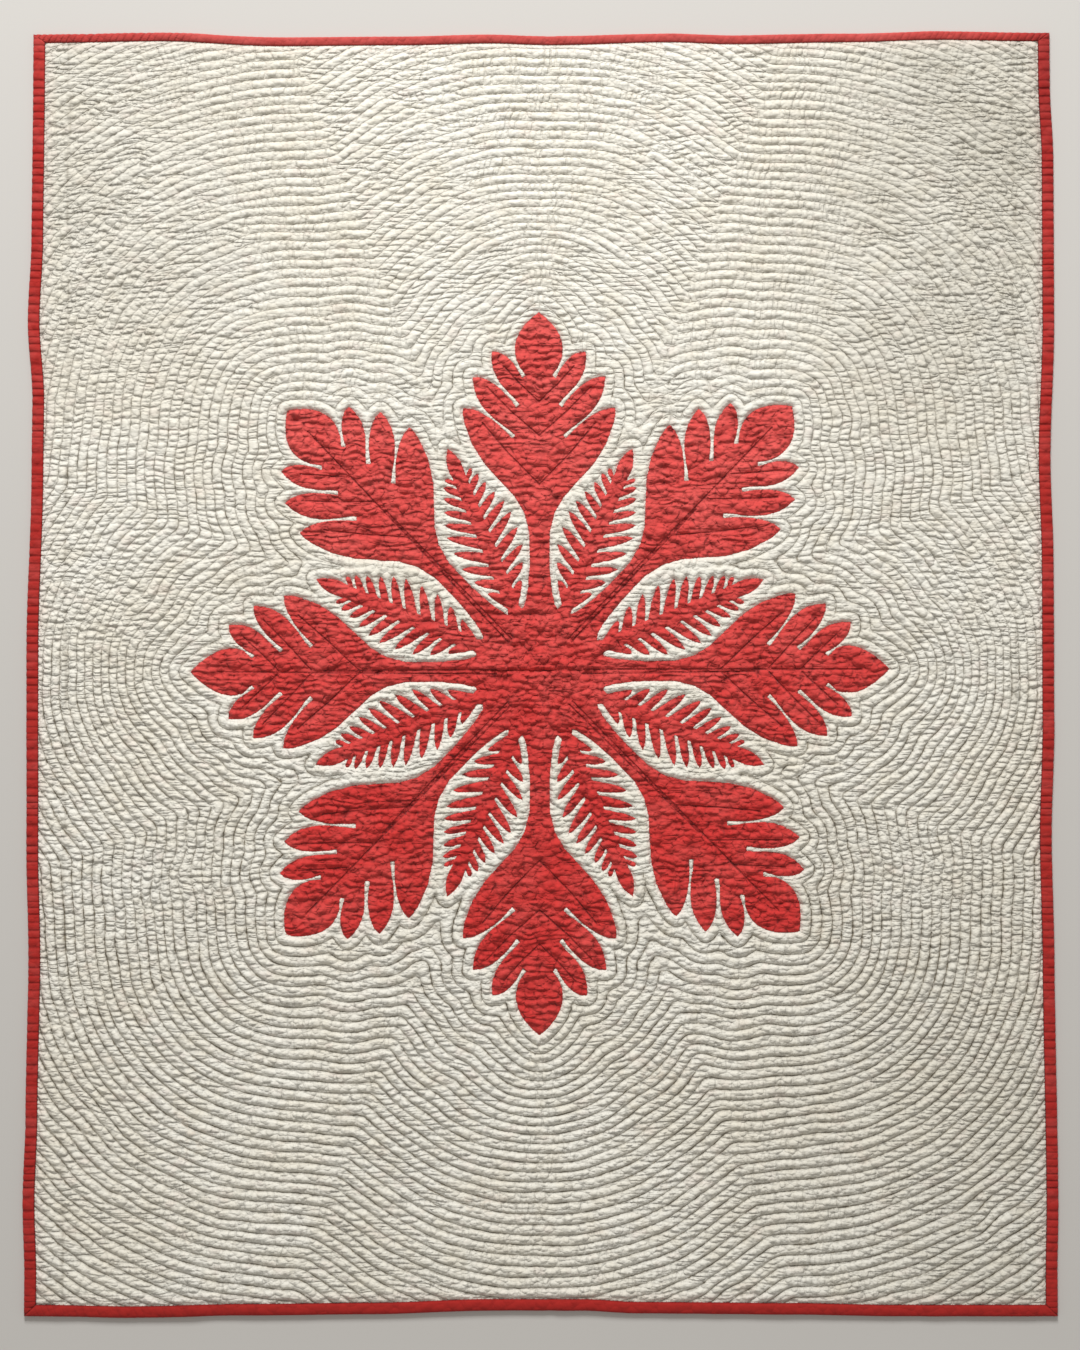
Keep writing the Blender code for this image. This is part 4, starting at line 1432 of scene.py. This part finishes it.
# %% The plain backing
def finish_backing():
    """The same cotton, flat, with the sewn lines showing through as painted shade."""
    back = backing_cotton.node_tree
    valley = on_whole_numbers(back, carried(back, "turns"), 0.85)
    cloud = clouds(back, (9, 9, 9), 3.0, 0.5, 0.35, 0.7)
    colour = tinted(back, times(back, cloud, 0.5), CREAM, WARM_CREAM)
    # Painted shade along the sewn lines.
    colour = tinted(back, times(back, valley, 0.3), colour, SHADE_AND_SEAM_BROWN)
    height = summed(back, (-0.8, valley), (0.6, noise(back, (140, 240, 140), 3.0)))
    finished(back, colour, height, 0.9, 0.15)


finish_backing()
print("the backing has", len(backing_cotton.node_tree.nodes), "nodes")

# %% [markdown]
# ## The finish of red cotton
#
# The motif was dyed a strong red and has faded to different depths, and painted light makes it paler
# towards the top. Painted shade darkens it in its creases, round its puffs and along its sewn edge,
# where the cloth is pulled down, so it is palest on the puffs between. The veins are fine dark lines of
# painted shade, where the stitches pull the cloth into a groove. The binding is the same cotton, with
# painted light along its top strip and painted shade towards the bottom, in its seam and tucks and at
# its upper right corner, and its thread is a shade darker.

# %% Red cotton of the motif and the binding
# The paler reds serve for fading and for painted light; the deep red serves for painted shade, blotches
# and worn thread.
RED = (0.65, 0.040, 0.036, 1.0)
FADED_AND_LIT_RED = (0.79, 0.11, 0.098, 1.0)
DEEP_RED = (0.17, 0.006, 0.006, 1.0)
BINDING_RED = (0.43, 0.022, 0.017, 1.0)
FADED_AND_LIT_BINDING = (0.56, 0.088, 0.078, 1.0)


def up_the_quilt(tree, low, high):
    """0 below one height on the quilt and 1 above another, in millimetres."""
    at = put(tree, "ShaderNodeTexCoord").outputs["Object"]
    height = put(tree, "ShaderNodeSeparateXYZ", {0: at}).outputs["Y"]
    return ramp_between(tree, height, low * MM, high * MM)


def finish_motif():
    """Faded red, paler towards the top as painted light, with painted shade in its creases, veins and
    edges.
    """
    red = red_cotton.node_tree
    crease = on_whole_numbers(red, carried(red, "weft"), 0.2)
    crease = times(red, crease, carried(red, "patches"))
    dent = on_whole_numbers(red, carried(red, "warp"), 0.25)
    dent = times(red, dent, carried(red, "knobs"))
    broken = clouds(red, (100, 130, 100), 2.0, 0.5, 0.35, 0.6)
    vein = ramp_between(red, carried(red, "to_vein"), 1.3, 0.25)
    vein_dark = times(red, vein, maths(red, "MULTIPLY_ADD", broken, 0.35, 0.4))
    edge = ramp_between(red, carried(red, "to_edge"), 1.1, 0.0)
    pinch = ramp_between(red, carried(red, "from_crease"), 1.7, 0.1)
    pinch = times(red, pinch, maths(red, "MULTIPLY_ADD", broken, 0.8, 0.1))
    # The dye has faded in clouds, and painted light makes it paler towards the top.
    fade_and_light = clouds(red, (20, 26, 20), 4.0, 0.6, 0.38, 0.68)
    fade_and_light = summed(red, (0.45, fade_and_light), (0.6, up_the_quilt(red, -190.0, 310.0)))
    colour = tinted(red, fade_and_light, RED, FADED_AND_LIT_RED)
    knobs_here = knobbly(red, (88, 122, 88))
    small_knobs = knobbly(red, (160, 205, 160))
    blotches = clouds(red, (80, 105, 80), 3.0, 0.6, 0.5, 0.75)
    # Painted shade in the creases, dents, pinches between puffs, veins, fold, sewn edge and round the
    # knobs; the blotches are the dye's own.
    deep = summed(red, (0.16, crease), (0.1, dent), (0.6, pinch))
    deep = maths(red, "MAXIMUM", deep, vein_dark)
    deep = maths(red, "MAXIMUM", deep, times(red, edge, 0.4))
    deep = maths(red, "MULTIPLY_ADD", ramp_between(red, knobs_here, 0.3, 0.8), 0.25, deep)
    deep = maths(red, "MULTIPLY_ADD", blotches, 0.25, deep)
    colour = tinted(red, deep, colour, DEEP_RED)
    rough = noise(red, (150, 200, 150), 2.0, 0.6)
    height = summed(
        red, (-1.1, crease), (-0.7, dent), (-1.2, pinch), (-1.0, vein), (-4.6, knobs_here),
        (-1.2, small_knobs), (0.7, rough), (0.02, weave(red, WEAVE)),
    )
    finished(red, colour, height, 0.85, 0.08)


def finish_binding():
    """The same red on the binding, with painted light along the top strip and painted shade along its
    seam, in its tucks and low down.
    """
    red = red_binding.node_tree
    # The dye has faded in clouds, which stop towards the bottom, so the lower strips stay darker as
    # painted shade.
    fade_and_light = clouds(red, (30, 45, 30), 4.0, 0.6, 0.4, 0.7)
    fade_and_light = times(red, fade_and_light, up_the_quilt(red, -690.0, -500.0), 0.35)
    # Painted light makes the top strip paler, and least so at its two ends.
    at = put(red, "ShaderNodeTexCoord").outputs["Object"]
    across = put(red, "ShaderNodeSeparateXYZ", {0: at}).outputs["X"]
    off_corners = ramp_between(red, maths(red, "ABSOLUTE", across), 535.0 * MM, 330.0 * MM)
    on_top_strip = maths(red, "MULTIPLY_ADD", off_corners, 0.5, 0.25)
    on_top_strip = times(red, on_top_strip, up_the_quilt(red, 650.0, 664.0))
    colour = tinted(red, maths(red, "ADD", fade_and_light, on_top_strip), BINDING_RED, FADED_AND_LIT_BINDING)
    # Painted shade darkens its seam and tucks, the lower edge of the bottom strip and the upper right
    # corner; the blotches are the dye's own.
    seam = ramp_between(red, carried(red, "from_seam"), 1.6, 0.1)
    seam = times(red, seam, carried(red, "on_top"))
    tuck = on_whole_numbers(red, carried(red, "tuck"), 0.5)
    tuck = times(red, tuck, carried(red, "tuck_depth"))
    blotches = clouds(red, (110, 110, 110), 3.0, 0.6, 0.5, 0.78)
    low_down = maths(red, "SUBTRACT", 1.0, up_the_quilt(red, -672.0, -655.0))
    at_corner = ramp_between(red, across, 490.0 * MM, 540.0 * MM)
    at_corner = times(red, at_corner, up_the_quilt(red, 440.0, 660.0))
    deep = summed(
        red, (0.6, seam), (0.22, blotches), (0.34, tuck), (0.2, low_down), (0.4, at_corner)
    )
    colour = tinted(red, deep, colour, DEEP_RED)
    rough = noise(red, (150, 170, 150), 2.0, 0.6)
    height = summed(
        red, (-0.8, tuck), (-1.2, knobbly(red, (120, 120, 120))), (0.7, rough),
        (0.02, weave(red, WEAVE)),
    )
    finished(red, colour, height, 0.85, 0.08)


def finish_thread():
    """Twisted cotton thread, a little darker than the cloth it holds."""
    thread = red_thread.node_tree
    inputs = {"Vector": place_on_cloth(thread, (1, 1, 1)), "Scale": 300.0, "Distortion": 2.0}
    twist = put(thread, "ShaderNodeTexWave", inputs, bands_direction="DIAGONAL").outputs["Fac"]
    worn = clouds(thread, (60, 60, 60), 2.0, 0.5, 0.35, 0.65)
    colour = tinted(thread, worn, BINDING_RED, DEEP_RED)
    finished(thread, colour, times(thread, twist, 0.06), 0.7, 0.2)


finish_motif()
finish_binding()
finish_thread()
print("red cotton has", len(red_cotton.node_tree.nodes), "nodes")

# %% [markdown]
# ## The pieces and the solids they replace
#
# Each piece is hung under one empty for the whole quilt, and the solid of the part file that it
# replaces is hidden.

# %% Each piece under one empty, its solid hidden
for quarter in quarters:
    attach(quarter, "root")
    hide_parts("quilted_ground")
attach(backing, "root")
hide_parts("quilted_ground")
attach(motif, "root")
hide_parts("applique_motif")
for stitches in (edge_stitches, vein_stitches):
    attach(stitches, "root")
    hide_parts("applique_motif")
for side, strip in strips.items():
    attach(strip, "root")
    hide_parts("binding_" + side)
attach(hem_stitches, "root")
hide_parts("binding_left")

# %% [markdown]
# ## Floor, light and camera
#
# The floor is plain and pale. A large soft light stands beyond the top edge of the quilt, low
# enough to graze the rolls and give each a bright and a dark side, and a weak even light from all
# round keeps the valleys open. The camera looks straight down, tipped by a degree and a half,
# because in the photo the lower edge of the quilt is a little wider than the upper one.

# %% Floor
FLOOR_SIZE = 6.0
BELOW_THE_QUILT = 0.0002
FLOOR_PAINT = (0.62, 0.60, 0.57, 1.0)

bpy.ops.mesh.primitive_plane_add(size=FLOOR_SIZE, location=(0.0, 0.0, 0.0))
floor = bpy.context.object
floor.name = "floor"
floor_finish = new_finish("floor_paint")
floor_shader = floor_finish.node_tree.nodes["Principled BSDF"]
floor_shader.inputs["Base Color"].default_value = FLOOR_PAINT
floor_shader.inputs["Roughness"].default_value = 0.85
floor.data.materials.append(floor_finish)
floor.location.z = -BELOW_THE_QUILT
print("the floor is", FLOOR_SIZE, "m wide")

# %% Light
WINDOW_PLACE = (-0.25, 3.4, 2.4)
WINDOW_SIZE = 1.2
WINDOW_POWER = 166.0
ROOM_COLOUR = (1.0, 0.97, 0.92, 1.0)
ROOM_STRENGTH = 0.38

lamp = bpy.data.lights.new("window_light", "AREA")
lamp.shape = "SQUARE"
lamp.size = WINDOW_SIZE
lamp.energy = WINDOW_POWER
light = bpy.data.objects.new("window_light", lamp)
light.location = WINDOW_PLACE
light.rotation_euler = (-light.location).to_track_quat("-Z", "Y").to_euler()
bpy.context.scene.collection.objects.link(light)
world = bpy.data.worlds.new("room_light")
bpy.context.scene.world = world
world.use_nodes = True
background = world.node_tree.nodes["Background"]
background.inputs["Color"].default_value = ROOM_COLOUR
background.inputs["Strength"].default_value = ROOM_STRENGTH
print("the light stands", round(light.location.length, 1), "m from the quilt")

# %% Camera
CAMERA_DISTANCE = 1.98
CAMERA_TILT = math.asin(0.0252)
CAMERA_SHIFT = (-0.0012, -0.0063)
camera_data = bpy.data.cameras.new("camera")
camera_data.lens = 50.0
camera_data.sensor_width = 36.0
camera = bpy.data.objects.new("camera", camera_data)
camera.location = (
    CAMERA_SHIFT[0],
    CAMERA_SHIFT[1] - CAMERA_DISTANCE * math.sin(CAMERA_TILT),
    CAMERA_DISTANCE * math.cos(CAMERA_TILT),
)
camera.rotation_euler = (CAMERA_TILT, 0.0, 0.0)
bpy.context.scene.collection.objects.link(camera)
bpy.context.scene.camera = camera
bpy.context.scene.view_settings.view_transform = "Standard"
print("the camera hangs", round(camera.location.z, 2), "m above the floor")
